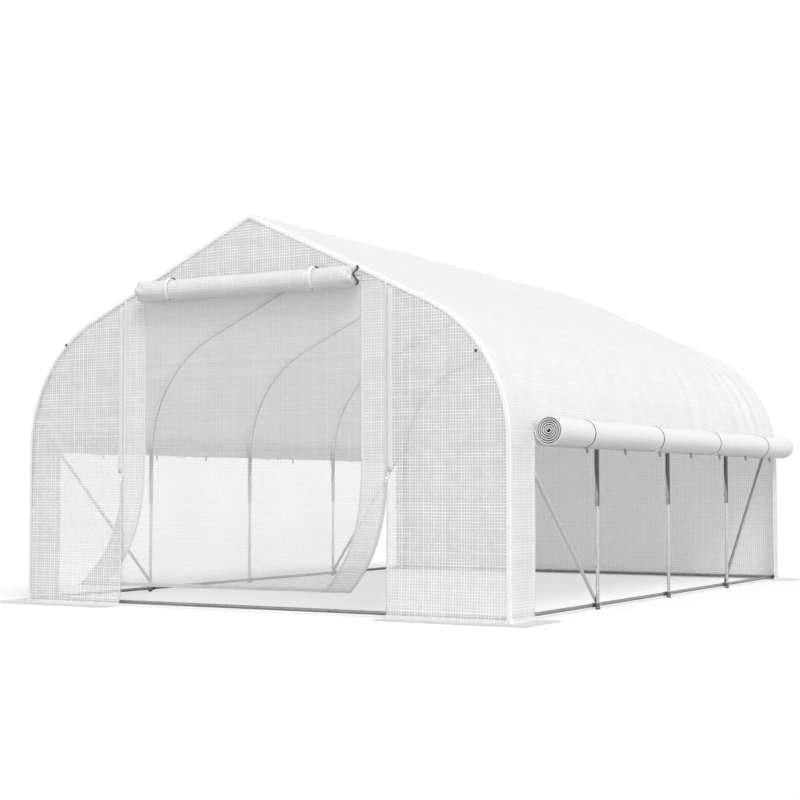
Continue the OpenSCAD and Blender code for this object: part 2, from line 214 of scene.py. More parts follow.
def insectNet(name, colour, rib, hides):
    material, tree = newMaterial(name)
    uv = clothMap(tree)
    lines = threadLines(tree, uv, netGrid)
    drift = ramp(tree, objectNoise(tree, 5.0), 0.3, 0.7, -0.03, 0.03)
    closed = calc(tree, "ADD", ramp(tree, lines, 0.0, 1.0, *hides), drift)
    closed = calc(tree, "MULTIPLY_ADD", threadLines(tree, uv, netRibs), rib, closed)
    tone = blendColours(tree, lines, grey(colour * 0.94), grey(colour))
    normal = bumped(tree, lines, 0.4, 0.0003)
    return coat(material, painted(tree, tone, 0.55, normal, specular=0.3, Alpha=closed))


def innerSide(tree, place):
    # One on the side of a hoop's tube that faces the middle of the tunnel
    axes = splitAxes(tree, place)
    middle = calc(tree, "MULTIPLY", calc(tree, "SIGN", axes["X"]), bendX * 0.6)
    inwards = joinAxes(
        tree,
        X=calc(tree, "SUBTRACT", middle, axes["X"]),
        Z=calc(tree, "SUBTRACT", tunnel["legTop"], axes["Z"]),
    )
    aim = addNode(tree, "ShaderNodeVectorMath", {0: inwards}, operation="NORMALIZE").outputs[0]
    pair = {0: aim, 1: surfaceNormal(tree)}
    facing = addNode(tree, "ShaderNodeVectorMath", pair, operation="DOT_PRODUCT")
    return ramp(tree, facing.outputs["Value"], 0.76, 0.86)


def hoopColour(tree, colour, light, hoop):
    # Painted shade on the length of the bend that runs down over its leg, with painted dark reflections
    # on its outer and inner sides
    place = objectPlace(tree)
    axes = splitAxes(tree, place)
    height, drawnBelow = axes["Z"], hoop["drawnBelow"]
    # below this height the tube is painted darker, as in shade
    upper = ramp(tree, height, drawnBelow - 0.06, drawnBelow + 0.06)
    # a painted dark reflection runs down the outer side to a point
    turned = splitAxes(tree, surfaceNormal(tree))
    outwards = calc(tree, "MULTIPLY", turned["X"], calc(tree, "SIGN", axes["X"]))
    reach = ramp(tree, height, drawnBelow - 0.32, drawnBelow - 0.1, 0.75, -1.3)
    core = ramp(tree, calc(tree, "SUBTRACT", outwards, reach), -0.25, 0.25)
    # painted shade at about half the light colour, and the painted dark reflection darker still
    drawn = blendColours(tree, core, grey(light * 0.55), grey(hoop["drawn"]))
    # painted dark reflection along the side of the tube that faces the middle
    withInnerReflection = blendColours(tree, innerSide(tree, place), colour, grey(hoop["innerReflection"]))
    return blendColours(tree, upper, drawn, withInnerReflection)


def galvanisedSteel(name, dark, light, rough, hoop=None):
    # Zinc spangle on drawn tube, with dull patches
    material, tree = newMaterial(name)
    spangle = addNode(tree, "ShaderNodeTexVoronoi", {"Vector": objectPlace(tree), "Scale": 160.0})
    tone = calc(tree, "MULTIPLY_ADD", spangle.outputs["Distance"], 0.25, objectNoise(tree, 60.0))
    colour = blendColours(tree, ramp(tree, tone, 0.35, 0.95), grey(dark), grey(light, -0.004))
    if hoop:
        colour = hoopColour(tree, colour, light, hoop)
    dull = ramp(tree, objectNoise(tree, 30.0, 4.0), 0.25, 0.8, rough - 0.05, rough + 0.06)
    normal = bumped(tree, objectNoise(tree, 220.0, 2.0), 0.06, 0.0003)
    return coat(material, painted(tree, colour, dull, normal, Metallic=1.0))


def mouldedPlastic(name, dark, light, rough):
    material, tree = newMaterial(name)
    fleck = ramp(tree, objectNoise(tree, 60.0, 4.0), 0.3, 0.75)
    colour = blendColours(tree, fleck, grey(dark), grey(light))
    normal = bumped(tree, objectNoise(tree, 700.0, 2.0), 0.3, 0.0004)
    dull = ramp(tree, objectNoise(tree, 25.0), 0.2, 0.8, rough - 0.07, rough + 0.07)
    return coat(material, painted(tree, colour, dull, normal))


def tieWebbing(name, light, dark, selvedge):
    # Narrow woven tape: ribs across it and a darker selvedge, by its own coordinates
    material, tree = newMaterial(name)
    axes = splitAxes(tree, clothMap(tree))
    ribs = wave(tree, axes["Y"], webbing["rib"])
    cords = wave(tree, axes["X"], webbing["cord"])
    edge = ramp(tree, axes["X"], selvedge - 0.001, selvedge + 0.0005)
    plain = blendColours(tree, ramp(tree, ribs, -1.0, 1.0), grey(light * 0.93), grey(light))
    colour = blendColours(tree, edge, plain, grey(dark))
    normal = bumped(tree, calc(tree, "MULTIPLY_ADD", cords, 0.6, ribs), 0.5, 0.0004)
    return coat(material, painted(tree, colour, 0.6, normal))


roofCloth = wovenCloth("roofCloth", cell=0.86, thread=0.985, rough=0.42, glow=0.26, hides=(0.985, 0.995))
wallCloth = wovenCloth("wallCloth", cell=0.8, thread=0.95, rough=0.45, glow=0.2, hides=(0.56, 0.94))
rearCloth = wovenCloth("rearCloth", cell=0.74, thread=0.98, rough=0.45, glow=0.2, hides=(0.77, 0.97))
stripCloth = wovenCloth("stripCloth", cell=0.82, thread=0.985, rough=0.44, glow=0.24, hides=(0.87, 0.99))
bandCloth = wovenCloth("bandCloth", cell=0.78, thread=0.98, rough=0.45, glow=0.24, hides=(0.87, 0.98))
pipingCloth = wovenCloth("pipingCloth", cell=0.8, thread=0.83, rough=0.4, glow=0.12)
rolledCloth = wovenCloth("rolledCloth", cell=0.82, thread=0.9, rough=0.42, glow=0.08)
doorRollCloth = wovenCloth("doorRollCloth", cell=0.7, thread=0.9, rough=0.42, glow=0.08)
# painted shade for the rolls: darker copies of the rolled cloth on the cut ends and on the inner
# windings
rolledEdgeShade = wovenCloth("rolledEdgeShade", cell=0.76, thread=0.82, rough=0.5, glow=0.02)
rolledInsideShade = wovenCloth("rolledInsideShade", cell=0.3, thread=0.38, rough=0.5, glow=0.02)
hemCloth = wovenCloth("hemCloth", cell=0.9, thread=0.92, rough=0.38, glow=0.12)
doorNet = insectNet("doorNet", colour=0.8, rib=0.24, hides=(0.33, 0.54))
# painted shade and painted dark reflections on the hoop tubes
hoopPaintedShade = {"drawnBelow": 0.9, "drawn": 0.14, "innerReflection": 0.2}
steel = galvanisedSteel("galvanisedSteel", dark=0.8, light=0.84, rough=0.24)
bendSteel = galvanisedSteel("bendSteel", dark=0.9, light=0.94, rough=0.24, hoop=hoopPaintedShade)
dullSteel = galvanisedSteel("dullSteel", dark=0.3, light=0.42, rough=0.34)
plastic = mouldedPlastic("greyPlastic", dark=0.1, light=0.16, rough=0.5)
zipPlastic = mouldedPlastic("zipPlastic", dark=0.62, light=0.72, rough=0.4)
plainTape = tieWebbing("plainTape", light=0.92, dark=0.6, selvedge=0.05)
# near-black, for painted shade at the ties and at the door roll's end
paintedShadeCord = mouldedPlastic("paintedShadeCord", dark=0.04, light=0.07, rough=0.6)
tabTape = tieWebbing("tabTape", light=0.45, dark=0.1, selvedge=0.03)
threadYarn = mouldedPlastic("threadYarn", dark=0.82, light=0.9, rough=0.6)
print("materials made,", len(bpy.data.materials))


# Mesh helpers. A patch is points, cloth coordinates and faces

def smooth(value, low, high):
    share = min(1.0, max(0.0, (value - low) / (high - low)))
    return share * share * (3 - 2 * share)


def waver(x, y, z):
    # Noise between about zero and one
    return 0.5 + 0.5 * noise.noise((x, y, z))


def spread(first, last, step):
    count = max(1, round(abs(last - first) / step))
    return [first + (last - first) * i / count for i in range(count + 1)]


def moved(path, x, y, z):
    return [Vector(spot) + Vector((x, y, z)) for spot in path]


def sheetPatch(across, along, place, keep=None):
    points, flats, faces, known = [], [], [], {}

    def corner(i, j):
        if (i, j) not in known:
            point, flat = place(across[i], along[j])
            known[i, j] = len(points)
            points.append(point)
            flats.append(flat)
        return known[i, j]

    for i in range(len(across) - 1):
        for j in range(len(along) - 1):
            if keep is None or keep(i, j):
                faces.append((corner(i, j), corner(i + 1, j), corner(i + 1, j + 1), corner(i, j + 1)))
    return points, flats, faces


# A doubled edge in section: shares of its width and of its thickness
hemSection = [(0, 0.1), (0.12, 0.5), (0.5, 0.58), (0.88, 0.5), (1, 0.1)]
hemSection += [(across, -up) for across, up in reversed(hemSection)]


def ribbonPatch(path, sides, normals, width, thick, closed=False):
    points, flats, faces = [], [], []
    count = len(hemSection)
    run = 0.0
    for k, spot in enumerate(path):
        if k:
            run += (Vector(spot) - Vector(path[k - 1])).length
        for across, up in hemSection:
            point = Vector(spot) + Vector(sides[k]) * across * width
            points.append(point + Vector(normals[k]) * up * thick)
            flats.append((across * width, run))
    for k in range(len(path) if closed else len(path) - 1):
        nextRing = (k + 1) % len(path)
        for a in range(count):
            b = (a + 1) % count
            faces.append((k * count + a, k * count + b, nextRing * count + b, nextRing * count + a))
    if not closed:
        last = (len(path) - 1) * count
        faces.append(tuple(range(count - 1, -1, -1)))
        faces.append(tuple(last + a for a in range(count)))
    return points, flats, faces


def flatRibbon(path, side, normal, width, thick):
    return ribbonPatch(path, [side] * len(path), [normal] * len(path), width, thick)


def turnOutwards(mesh):
    work = bmesh.new()
    work.from_mesh(mesh)
    bmesh.ops.recalc_face_normals(work, faces=work.faces)
    work.to_mesh(mesh)
    work.free()


def meshFrom(name, patches, recalculate=False):
    points, flats, faces = [], [], []
    for patchPoints, patchFlats, patchFaces in patches:
        base = len(points)
        points += patchPoints
        flats += patchFlats
        faces += [tuple(base + i for i in face) for face in patchFaces]
    mesh = bpy.data.meshes.new(name)
    mesh.from_pydata([tuple(p) for p in points], [], faces)
    layer = mesh.uv_layers.new(name="cloth")
    for loop in mesh.loops:
        layer.data[loop.index].uv = flats[loop.vertex_index]
    if recalculate:
        turnOutwards(mesh)
    mesh.shade_smooth()
    return mesh


def addObject(name, data):
    thing = bpy.data.objects.new(name, data)
    bpy.context.scene.collection.objects.link(thing)
    return thing


def addPiece(name, mesh, material, replaced=()):
    piece = addObject(name, mesh)
    if material is not None:
        mesh.materials.clear()
        mesh.materials.append(material)
    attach(piece, "root")
    if replaced:
        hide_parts(*replaced)
    return piece


def ribbonPiece(name, patches, material, replaced=()):
    return addPiece(name, meshFrom(name, patches, True), material, replaced)


# Geometry node helpers

def nodeGroup(name, inputs):
    tree = bpy.data.node_groups.new(name, "GeometryNodeTree")
    kinds = {"Geometry": "Geometry", **inputs, "Material": "Material"}
    for label, kind in kinds.items():
        tree.interface.new_socket(label, in_out="INPUT", socket_type="NodeSocket" + kind)
    tree.interface.new_socket("Geometry", in_out="OUTPUT", socket_type="NodeSocketGeometry")
    source = addNode(tree, "NodeGroupInput")
    return tree, source.outputs


def closeGroup(tree, geometry, material):
    real = addNode(tree, "GeometryNodeRealizeInstances", {"Geometry": geometry}).outputs[0]
    coated = addNode(tree, "GeometryNodeSetMaterial", {"Geometry": real, "Material": material})
    addNode(tree, "NodeGroupOutput", {"Geometry": coated.outputs[0]})
    return tree


def grow(name, tree, values, points=(), edges=(), facing=None, thickness=None):
    # Runs a tree on a scratch object and gives back a plain mesh
    seed = bpy.data.meshes.new(name + "Seed")
    seed.from_pydata([tuple(p) for p in points] or [(0, 0, 0)], list(edges), [])
    if facing is not None:
        held = seed.attributes.new("facing", "FLOAT_VECTOR", "POINT")
        for spot, direction in zip(held.data, facing):
            spot.vector = direction
    scratch = addObject(name + "Scratch", seed)
    modifier = scratch.modifiers.new("grow", "NODES")
    modifier.node_group = tree
    for item in tree.interface.items_tree:
        if item.in_out == "INPUT" and item.name in values:
            modifier[item.identifier] = values[item.name]
    if thickness:
        wallThickness = scratch.modifiers.new("thickness", "SOLIDIFY")
        wallThickness.thickness = thickness
        wallThickness.offset = 0.0
    graph = bpy.context.evaluated_depsgraph_get()
    mesh = bpy.data.meshes.new_from_object(scratch.evaluated_get(graph), depsgraph=graph)
    mesh.name = name
    if mesh.materials and mesh.materials[0] is None:
        mesh.materials.pop(index=0)  # the seed's own empty slot
    bpy.data.objects.remove(scratch)
    bpy.data.meshes.remove(seed)
    return mesh


def polyline(paths):
    points, edges = [], []
    for path in paths:
        base = len(points)
        points += path
        edges += [(base + i, base + i + 1) for i in range(len(path) - 1)]
    return points, edges


def rowTree(tree, given, thing):
    # Ends a tree with copies of one thing at an even pitch along a line, turned with it
    line = addNode(tree, "GeometryNodeMeshToCurve", {"Mesh": given["Geometry"]}).outputs[0]
    paced = {"Curve": line, "Length": given["Pitch"]}
    spots = addNode(tree, "GeometryNodeCurveToPoints", paced, mode="LENGTH").outputs
    copies = {"Points": spots["Points"], "Instance": thing, "Rotation": spots["Rotation"]}
    row = addNode(tree, "GeometryNodeInstanceOnPoints", copies)
    return closeGroup(tree, row.outputs[0], given["Material"])


def stitchTree():
    tree, given = nodeGroup("stitches", {"Pitch": "Float", "Stitch": "Float", "Radius": "Float"})
    size = {"Vertices": 5, "Radius": given["Radius"], "Depth": given["Stitch"]}
    yarn = addNode(tree, "GeometryNodeMeshCylinder", size)
    return rowTree(tree, given, yarn.outputs["Mesh"])


def zipTree():
    tree, given = nodeGroup("zipTeeth", {"Pitch": "Float", "Tooth": "Vector"})
    tooth = addNode(tree, "GeometryNodeMeshCube", {"Size": given["Tooth"]})
    return rowTree(tree, given, tooth.outputs["Mesh"])


def screwTree():
    # A washer, a low hexagon head and the stub of the thread, along each point's own direction
    tree, given = nodeGroup("screws", {"Size": "Float"})
    heads = []
    for sides, radius, depth, lift in ((20, 1.0, 0.22, 0.1), (6, 0.66, 0.5, 0.45), (12, 0.34, 0.3, 0.8)):
        size = {"Vertices": sides, "Radius": radius, "Depth": depth}
        head = addNode(tree, "GeometryNodeMeshCylinder", size).outputs["Mesh"]
        raised = addNode(tree, "GeometryNodeTransform", {"Geometry": head, "Translation": (0, 0, lift)})
        heads.append(raised.outputs[0])
    screw = addNode(tree, "GeometryNodeJoinGeometry")
    for head in heads:
        tree.links.new(head, screw.inputs[0])
    spots = addNode(tree, "GeometryNodeMeshToPoints", {"Mesh": given["Geometry"]})
    named = {"Name": "facing"}
    facing = addNode(tree, "GeometryNodeInputNamedAttribute", named, data_type="FLOAT_VECTOR")
    turn = addNode(tree, "FunctionNodeAlignRotationToVector", {"Vector": facing.outputs[0]}, axis="Z")
    placed = addNode(
        tree,
        "GeometryNodeInstanceOnPoints",
        {
            "Points": spots.outputs[0],
            "Instance": screw.outputs[0],
            "Rotation": turn.outputs[0],
            "Scale": given["Size"],
        },
    )
    return closeGroup(tree, placed.outputs[0], given["Material"])


stitches = stitchTree()
zipTeeth = zipTree()
screws = screwTree()


def sew(name, seams, stitch):
    points, edges = polyline(seams)
    mesh = grow(name, stitches, {**stitch, "Material": threadYarn}, points, edges)
    return addPiece(name, mesh, None)


# Cover: one sheet over the hoops, down to the ground at the four corners

cover = {
    "gap": 0.0018,  # from the hoops to the cloth
    "ridgeRound": 0.025,
    "eave": 0.84,
    "frontStrip": 0.26,
    "rearStrip": 0.11,
    "stripWaver": 0.0025,
    "skirt": 0.15,
    "skirtTurn": 0.02,
    "skirtWaver": 0.009,
    "floorGap": 0.002,
    "endAt": 2.1236,
    "endRound": 0.018,
    "endHem": 0.004,
    "endFold": 0.03,
    "acrossStep": 0.024,
    "alongStep": 0.031,
    "stripStep": 0.035,
    "turnStep": 0.006,
    "skirtStep": 0.02,
    "sag": 0.011,
    "ripple": 0.006,
    "fold": 0.0066,  # deeper towards the rear
    "wrinkle": 0.009,
    "crease": 0.0018,
    "creaseWidth": 0.012,
    "creasePitch": (0.53, 0.62),  # packing folds along the length and down the slope
    "hem": 0.025,
    "hemRise": 0.024,  # the eave's hem starts this far above the edge
    "hemStep": 0.06,
    "stripHem": 0.022,
    "stripHemRise": 0.02,
    "stripHemStep": 0.04,
    "hemThick": 0.003,
    "stitchIn": 0.017,  # from the strip's edge
    "stitchOut": 0.0016,
    "endStitchOut": 0.0002,
    "stitchStep": 0.02,
    "seamHoop": 2,
    "seamLift": 0.0012,
    "lap": 0.011,  # width of the welded lap
    "lapAt": 0.016,
    "lapThick": 0.0036,
    "lapStop": 0.03,  # above the eave
    "lapStep": 0.03,
}
coverStitch = {"Pitch": 0.011, "Stitch": 0.0065, "Radius": 0.0005}
coverR = tunnel["bendRadius"] + cover["gap"]
coverApex = tunnel["ridge"] + cover["gap"] / math.cos(roofPitch)
slopeStart = cover["ridgeRound"] * roofPitch
slopeLength = math.hypot(
    bendX + coverR * math.cos(bendAngle), coverApex - tunnel["legTop"] - coverR * math.sin(bendAngle)
)
bendStart = slopeStart + slopeLength - cover["ridgeRound"] * math.tan(roofPitch)
legStart = bendStart + coverR * bendAngle
eaveAt = legStart + tunnel["legTop"] - cover["eave"]
turnStart = legStart + tunnel["legTop"] - cover["skirtTurn"] - cover["floorGap"]
runStart = turnStart + cover["skirtTurn"] * math.pi / 2
coverEnd = runStart + cover["skirt"] - cover["skirtTurn"]
stripFront = -tunnel["halfLength"] + cover["frontStrip"]
stripRear = tunnel["halfLength"] - cover["rearStrip"]


def skirtDrop(run, turn):
    # Way out, height and levelness of a skirt that turns from a wall onto the ground
    if run < turn * math.pi / 2:
        angle = run / turn
        out = turn * (1 - math.cos(angle))
        return out, cover["floorGap"] + turn * (1 - math.sin(angle)), math.sin(angle)
    return turn + run - turn * math.pi / 2, cover["floorGap"], 1.0


def coverPoint(d, inset=0.0):
    # Point of the cover and its outward direction, d down from the ridge on the right
    gap = cover["gap"] - inset
    radius = tunnel["bendRadius"] + gap
    edge = tunnel["halfWidth"] + gap
    if d < bendStart:
        rounding = max(0.004, cover["ridgeRound"] - inset)
        centre = tunnel["ridge"] + (gap - rounding) / math.cos(roofPitch)
        turn = roofPitch * min(1.0, d / slopeStart)
        outX, outZ = math.sin(turn), math.cos(turn)
        top = (rounding * outX, centre + rounding * outZ)
        if d < slopeStart:
            return *top, outX, outZ
        foot = (bendX + radius * math.cos(bendAngle), tunnel["legTop"] + radius * math.sin(bendAngle))
        share = (d - slopeStart) / (bendStart - slopeStart)
        x = top[0] + (foot[0] - top[0]) * share
        z = top[1] + (foot[1] - top[1]) * share
        return x, z, outX, outZ
    if d < legStart:
        turn = bendAngle * (legStart - d) / (legStart - bendStart)
        outX, outZ = math.cos(turn), math.sin(turn)
        return bendX + radius * outX, tunnel["legTop"] + radius * outZ, outX, outZ
    if d < turnStart:
        return edge, tunnel["legTop"] - (d - legStart), 1.0, 0.0
    out, z, level = skirtDrop(d - turnStart, cover["skirtTurn"])
    return edge + out * max(0.0, 1 - inset / cover["endRound"]), z, 1 - level, level


def betweenHoops(y):
    place = (y - hoopPlaces[0]) / bay
    if place <= 0 or place >= tunnel["bays"]:
        return 0.0
    return math.sin(math.pi * (place % 1)) ** 2


def creaseDepth(value, pitch):
    away = abs(value / pitch - round(value / pitch)) * pitch
    return math.exp(-((away / cover["creaseWidth"]) ** 2))


def coverShift(s, y):
    # How far the cloth stands off its plain line: slack between hoops, ripples, packing folds
    d = abs(s)
    if d > turnStart:
        return cover["skirtWaver"] * smooth(d, runStart, coverEnd) * waver(y * 7.0, s, 2.0)
    span = betweenHoops(y)
    if d > eaveAt:
        inside = smooth(tunnel["halfLength"] - abs(y), 0.0, 0.06)
        return cover["stripWaver"] * inside * (1 + noise.noise((s * 3.0, y * 5.0, 1.0)))
    shoulder = smooth(d, bendStart - 0.35, bendStart + 0.2)
    shift = -cover["sag"] * span * smooth(d, 0.02, 0.3) * (1 - 0.6 * shoulder)
    shift += cover["ripple"] * math.sqrt(span) * noise.noise((s * 1.5, y * 2.2, 4.1))
    pulled = 1 - abs(noise.noise((s * 3.4 + y * 2.6, y * 1.3 - s * 0.7, 7.7)))
    shift += cover["wrinkle"] * math.sqrt(span) * pulled ** 3
    drift = noise.noise((s * 0.8, y * 1.1, 9.3))
    folded = math.sin(2 * math.pi * (4.3 * y + 1.1 * d + 1.6 * drift))
    shift += cover["fold"] * (0.4 + 0.6 * smooth(y, 0.0, 1.0)) * span * shoulder * folded
    lengthPitch, slopePitch = cover["creasePitch"]
    creased = max(creaseDepth(s, slopePitch), creaseDepth(y + 0.21, lengthPitch))
    shift -= cover["crease"] * creased * smooth(span, 0.0, 0.15)
    seam = abs(y - hoopPlaces[cover["seamHoop"]] - 0.02)
    return shift + cover["seamLift"] * (1 - smooth(seam, 0.016, 0.02))


def coverPlace(s, row):
    # Point and cloth coordinates, s round the hoops from the ridge, for one station along the length
    y, inset, v = row
    x, z, outX, outZ = coverPoint(abs(s), inset)
    lift = 0.0 if inset else coverShift(s, y)
    side = -1 if s < 0 else 1
    return (side * (x + outX * lift), y, z + outZ * lift), (s, v)


def onCover(s, y):
    return coverPlace(s, (y, 0.0, y))[0]


def coverRows():
    # Stations along the length: place, how far the end has turned in, cloth coordinate
    end, turn, hem = cover["endAt"], cover["endRound"], cover["endHem"]
    flatEnd = end - turn
    curl = [(end, turn + hem * k / 2, flatEnd + turn * math.pi / 2 + hem * k / 2) for k in (2, 1)]
    steps = 6
    for k in range(steps, 0, -1):
        angle = math.pi / 2 * k / steps
        turnedIn = turn * (1 - math.cos(angle))
        curl.append((flatEnd + turn * math.sin(angle), turnedIn, flatEnd + turn * angle))
    flat = spread(-flatEnd, stripFront, cover["alongStep"])[:-1]
    flat += spread(stripFront, stripRear, cover["alongStep"])[:-1]
    flat += spread(stripRear, flatEnd, cover["alongStep"])
    rows = [(-y, inset, -v) for y, inset, v in curl]
    rows += [(y, 0.0, y) for y in flat]
    return rows + curl[::-1]


def coverSewing():
    # Hems along the eaves and the corner strips, and the lines of their stitches
    hems, seams = [], []
    thick = cover["hemThick"]
    eaveYs = spread(stripFront, stripRear, cover["hemStep"])
    stripDs = spread(eaveAt - cover["stripHemRise"], turnStart, cover["stripHemStep"])
    for side in (-1, 1):
        lower = [onCover(side * (eaveAt - cover["hemRise"]), y) for y in eaveYs]
        hems.append(flatRibbon(lower, (0, 0, -1), (side, 0, 0), cover["hem"], thick))
        for edge, toward in ((stripFront, -1), (stripRear, 1)):
            upright = [onCover(side * d, edge) for d in stripDs]
            hems.append(flatRibbon(upright, (0, toward, 0), (side, 0, 0), cover["stripHem"], thick))
            seams.append(moved(upright, side * cover["stitchOut"], toward * cover["stitchIn"], 0))
    for end in (-1, 1):
        y = end * (cover["endAt"] + cover["endStitchOut"])
        for side in (-1, 1):
            line = []
            for d in spread(0, turnStart, cover["stitchStep"]):
                x, z, _, _ = coverPoint(d, cover["endRound"] + cover["endHem"])
                line.append((side * x, y, z))
            seams.append(line if side > 0 else line[::-1])
    return hems, seams


def coverLaps():
    # Welded lap beside the middle hoop, where two lengths of cloth meet
    laps = []
    y = hoopPlaces[cover["seamHoop"]] + cover["lapAt"]
    ds = spread(slopeStart, eaveAt - cover["lapStop"], cover["lapStep"])
    for side in (-1, 1):
        path = [onCover(side * d, y) for d in ds]
        normals = []
        for d in ds:
            _, _, outX, outZ = coverPoint(d)
            normals.append((side * outX, 0, outZ))
        laps.append(ribbonPatch(path, [(0, 1, 0)] * len(ds), normals, cover["lap"], cover["lapThick"]))
    return laps


def makeCover():
    half = spread(0, eaveAt, cover["acrossStep"])[:-1]
    half += spread(eaveAt, turnStart, cover["stripStep"])[:-1]
    half += spread(turnStart, runStart, cover["turnStep"])[:-1]
    half += spread(runStart, coverEnd, cover["skirtStep"])
    across = [-d for d in reversed(half)] + half[1:]
    rows = coverRows()
    tiny = 1e-6

    def keep(i, j):
        # open over the rolled curtains, and no skirt at the turned ends
        d = min(abs(across[i]), abs(across[i + 1])) + tiny
        low, high = rows[j], rows[j + 1]
        if d > runStart and (low[1] or high[1]):
            return False
        return not (d > eaveAt and low[0] > stripFront - tiny and high[0] < stripRear + tiny)

    sheet = addPiece(
        "roofCover",
        meshFrom("roofCover", [sheetPatch(across, rows, coverPlace, keep)]),
        roofCloth,
        [
            "roof_left_slope",
            "roof_right_slope",
            "roof_left_shoulder",
            "roof_right_shoulder",
            "front_left_strip",
            "front_right_strip",
            "rear_left_strip",
            "rear_right_strip",
            "side_skirts",
        ],
    )
    # doubled along both ends, thinner at the corner strips
    sheet.data.materials.append(stripCloth)
    sheet.data.materials.append(hemCloth)
    for face in sheet.data.polygons:
        if abs(face.center.y) > cover["endAt"] - cover["endFold"]:
            face.material_index = 2
        elif face.center.z < cover["eave"]:
            face.material_index = 1
    hems, seams = coverSewing()
    hemPiece = ribbonPiece("coverHems", hems, hemCloth)
    lapPiece = ribbonPiece("coverSeam", coverLaps(), pipingCloth)
    stitchPiece = sew("coverStitches", seams, coverStitch)


makeCover()
print("cover laid over the hoops")


# End walls: gable and side panels at the front, one sheet at the rear

wall = {
    "at": 2.1216,  # from the middle
    "inset": 0.006,  # inside the hoops' outline, under the cover's turned edge
    "doorHalf": 0.832,
    "doorTop": 1.65,
    "skirt": 0.15,
    "skirtTurn": 0.03,
    "skirtWaver": 0.011,
    "cornerWaver": 0.01,
    "seamUp": 0.024,  # the skirt's seam, above its turn
    "seamOut": 0.0012,
    "seamEnd": 0.012,
    "step": 0.024,
    "skirtStep": 0.02,
    "turnStep": 0.007,
    "edgeStep": 0.02,
    "bendColumns": 32,
    "billow": 0.004,
    "drape": 0.0015,
    "flare": 0.012,
    "tape": (0.009, 0.026),  # beside the doorway: the folded edge below, the zip tape above
    "tapeFrom": 0.42,  # shares of the doorway's edge
    "tapeTo": 0.975,
    "tapeThick": 0.0032,
    "tapeStitch": (0.004, 0.006),  # from the tape's outer and inner edges
    "tapeStitchOut": 0.0018,
    "gableHalf": 0.66,
    "gableHem": 0.03,
    "gableThick": 0.003,
    "gableStep": 0.03,
}
wallStitch = {"Pitch": 0.009, "Stitch": 0.0055, "Radius": 0.0007}
wallR = tunnel["bendRadius"] - wall["inset"]
wallTangent = bendX + wallR * math.cos(bendAngle)


def wallTop(x):
    x = abs(x)
    if x > wallTangent:
        return tunnel["legTop"] + math.sqrt(max(0.0, wallR ** 2 - (x - bendX) ** 2))
    return tunnel["ridge"] - wall["inset"] / math.cos(roofPitch) - x * math.tan(roofPitch)


def wallColumns(first):
    # Places across half a wall, closer together where the outline turns down
    columns = spread(first, wallTangent, wall["step"])
    count = wall["bendColumns"]
    for k in range(1, count + 1):
        columns.append(bendX + wallR * math.cos(bendAngle * (1 - k / count)))
    return columns


def wallShift(x, z, end):
    fromEdge = tunnel["halfWidth"] - abs(x)
    inside = smooth(wallTop(x) - z, 0.0, 0.16) * smooth(fromEdge, 0.004, 0.1)
    soft = waver(x * 1.9, z * 1.3, 5.0 + end)
    drape = 0.5 + 0.5 * math.sin(2 * math.pi * (3.1 * x + 0.6 * noise.noise((x, z * 0.7, 8.0 + end))))
    low = 1 - smooth(z, 0.02, 0.3)
    flare = wall["flare"] * low * waver(x * 5.0, 2.0, end)
    return inside * (wall["billow"] * soft + wall["drape"] * drape) + flare * smooth(fromEdge, 0, 0.08)


def wallPatch(columns, bottom, end, skirt):
    # Rows are run along the skirt where negative, and a share of the height above it otherwise
    turn = wall["skirtTurn"] if skirt else 0.0
    bottom = bottom + turn + (cover["floorGap"] if skirt else 0.0)
    rows = []
    if skirt:
        full = turn * math.pi / 2 + wall["skirt"] - turn
        rows += [-e for e in spread(full, turn * math.pi / 2, wall["skirtStep"])[:-1]]
        rows += [-e for e in spread(turn * math.pi / 2, 0, wall["turnStep"])[:-1]]
    rows += spread(0, 1, 1 / (max(3, round((wallTop(columns[0]) - bottom) / wall["step"]))))
    if end > 0:
        columns = [-x for x in columns]

    def place(x, row):
        if row < 0:
            out, z, level = skirtDrop(-row, turn)
            slack = wall["skirtWaver"] * level * smooth(out, turn, wall["skirt"])
            lift = slack * waver(x * 6.0, out, end)
            out += wallShift(x, bottom, end)
            return (x, end * (wall["at"] + out), z + lift), (x, bottom + row)
        z = bottom + (wallTop(x) - bottom) * row
        return (x, end * (wall["at"] + wallShift(x, z, end)), z), (x, z)

    return sheetPatch(columns, rows, place), place


def cornerPatch(side, end):
    # The skirt's square at a corner, level with both skirts beside it
    first = tunnel["halfWidth"] - wall["inset"]
    last = tunnel["halfWidth"] + cover["gap"] + cover["skirt"]
    xs = [side * x for x in spread(first, last, wall["skirtStep"])]
    if side * end > 0:
        xs.reverse()
    outs = spread(0.0, wall["skirt"], wall["skirtStep"])

    def place(x, out):
        far = max(abs(x) - tunnel["halfWidth"], out) / wall["skirt"]
        lift = wall["cornerWaver"] * max(0.0, far) * waver(x * 6.0, out * 6.0, end)
        return (x, end * (wall["at"] + out), cover["floorGap"] + lift), (x, -out)

    points, flats, faces = sheetPatch(xs, outs, place)
    return points, flats, [tuple(reversed(face)) for face in faces]


def wallPiece(name, patches, end, cloth, replaced):
    corners = [cornerPatch(side, end) for side in (-1, 1)]
    mesh = meshFrom(name, patches + corners)
    sheet = addPiece(name, mesh, cloth, replaced)
    # the skirts are doubled cloth: little shows through them
    mesh.materials.append(bandCloth)
    for face in mesh.polygons:
        if face.center.z < wall["skirtTurn"] * 0.7:
            face.material_index = 1
    return sheet


def skirtSeam(place, xs, end):
    return moved([place(x, 0.0)[0] for x in xs], 0, end * wall["seamOut"], wall["seamUp"])


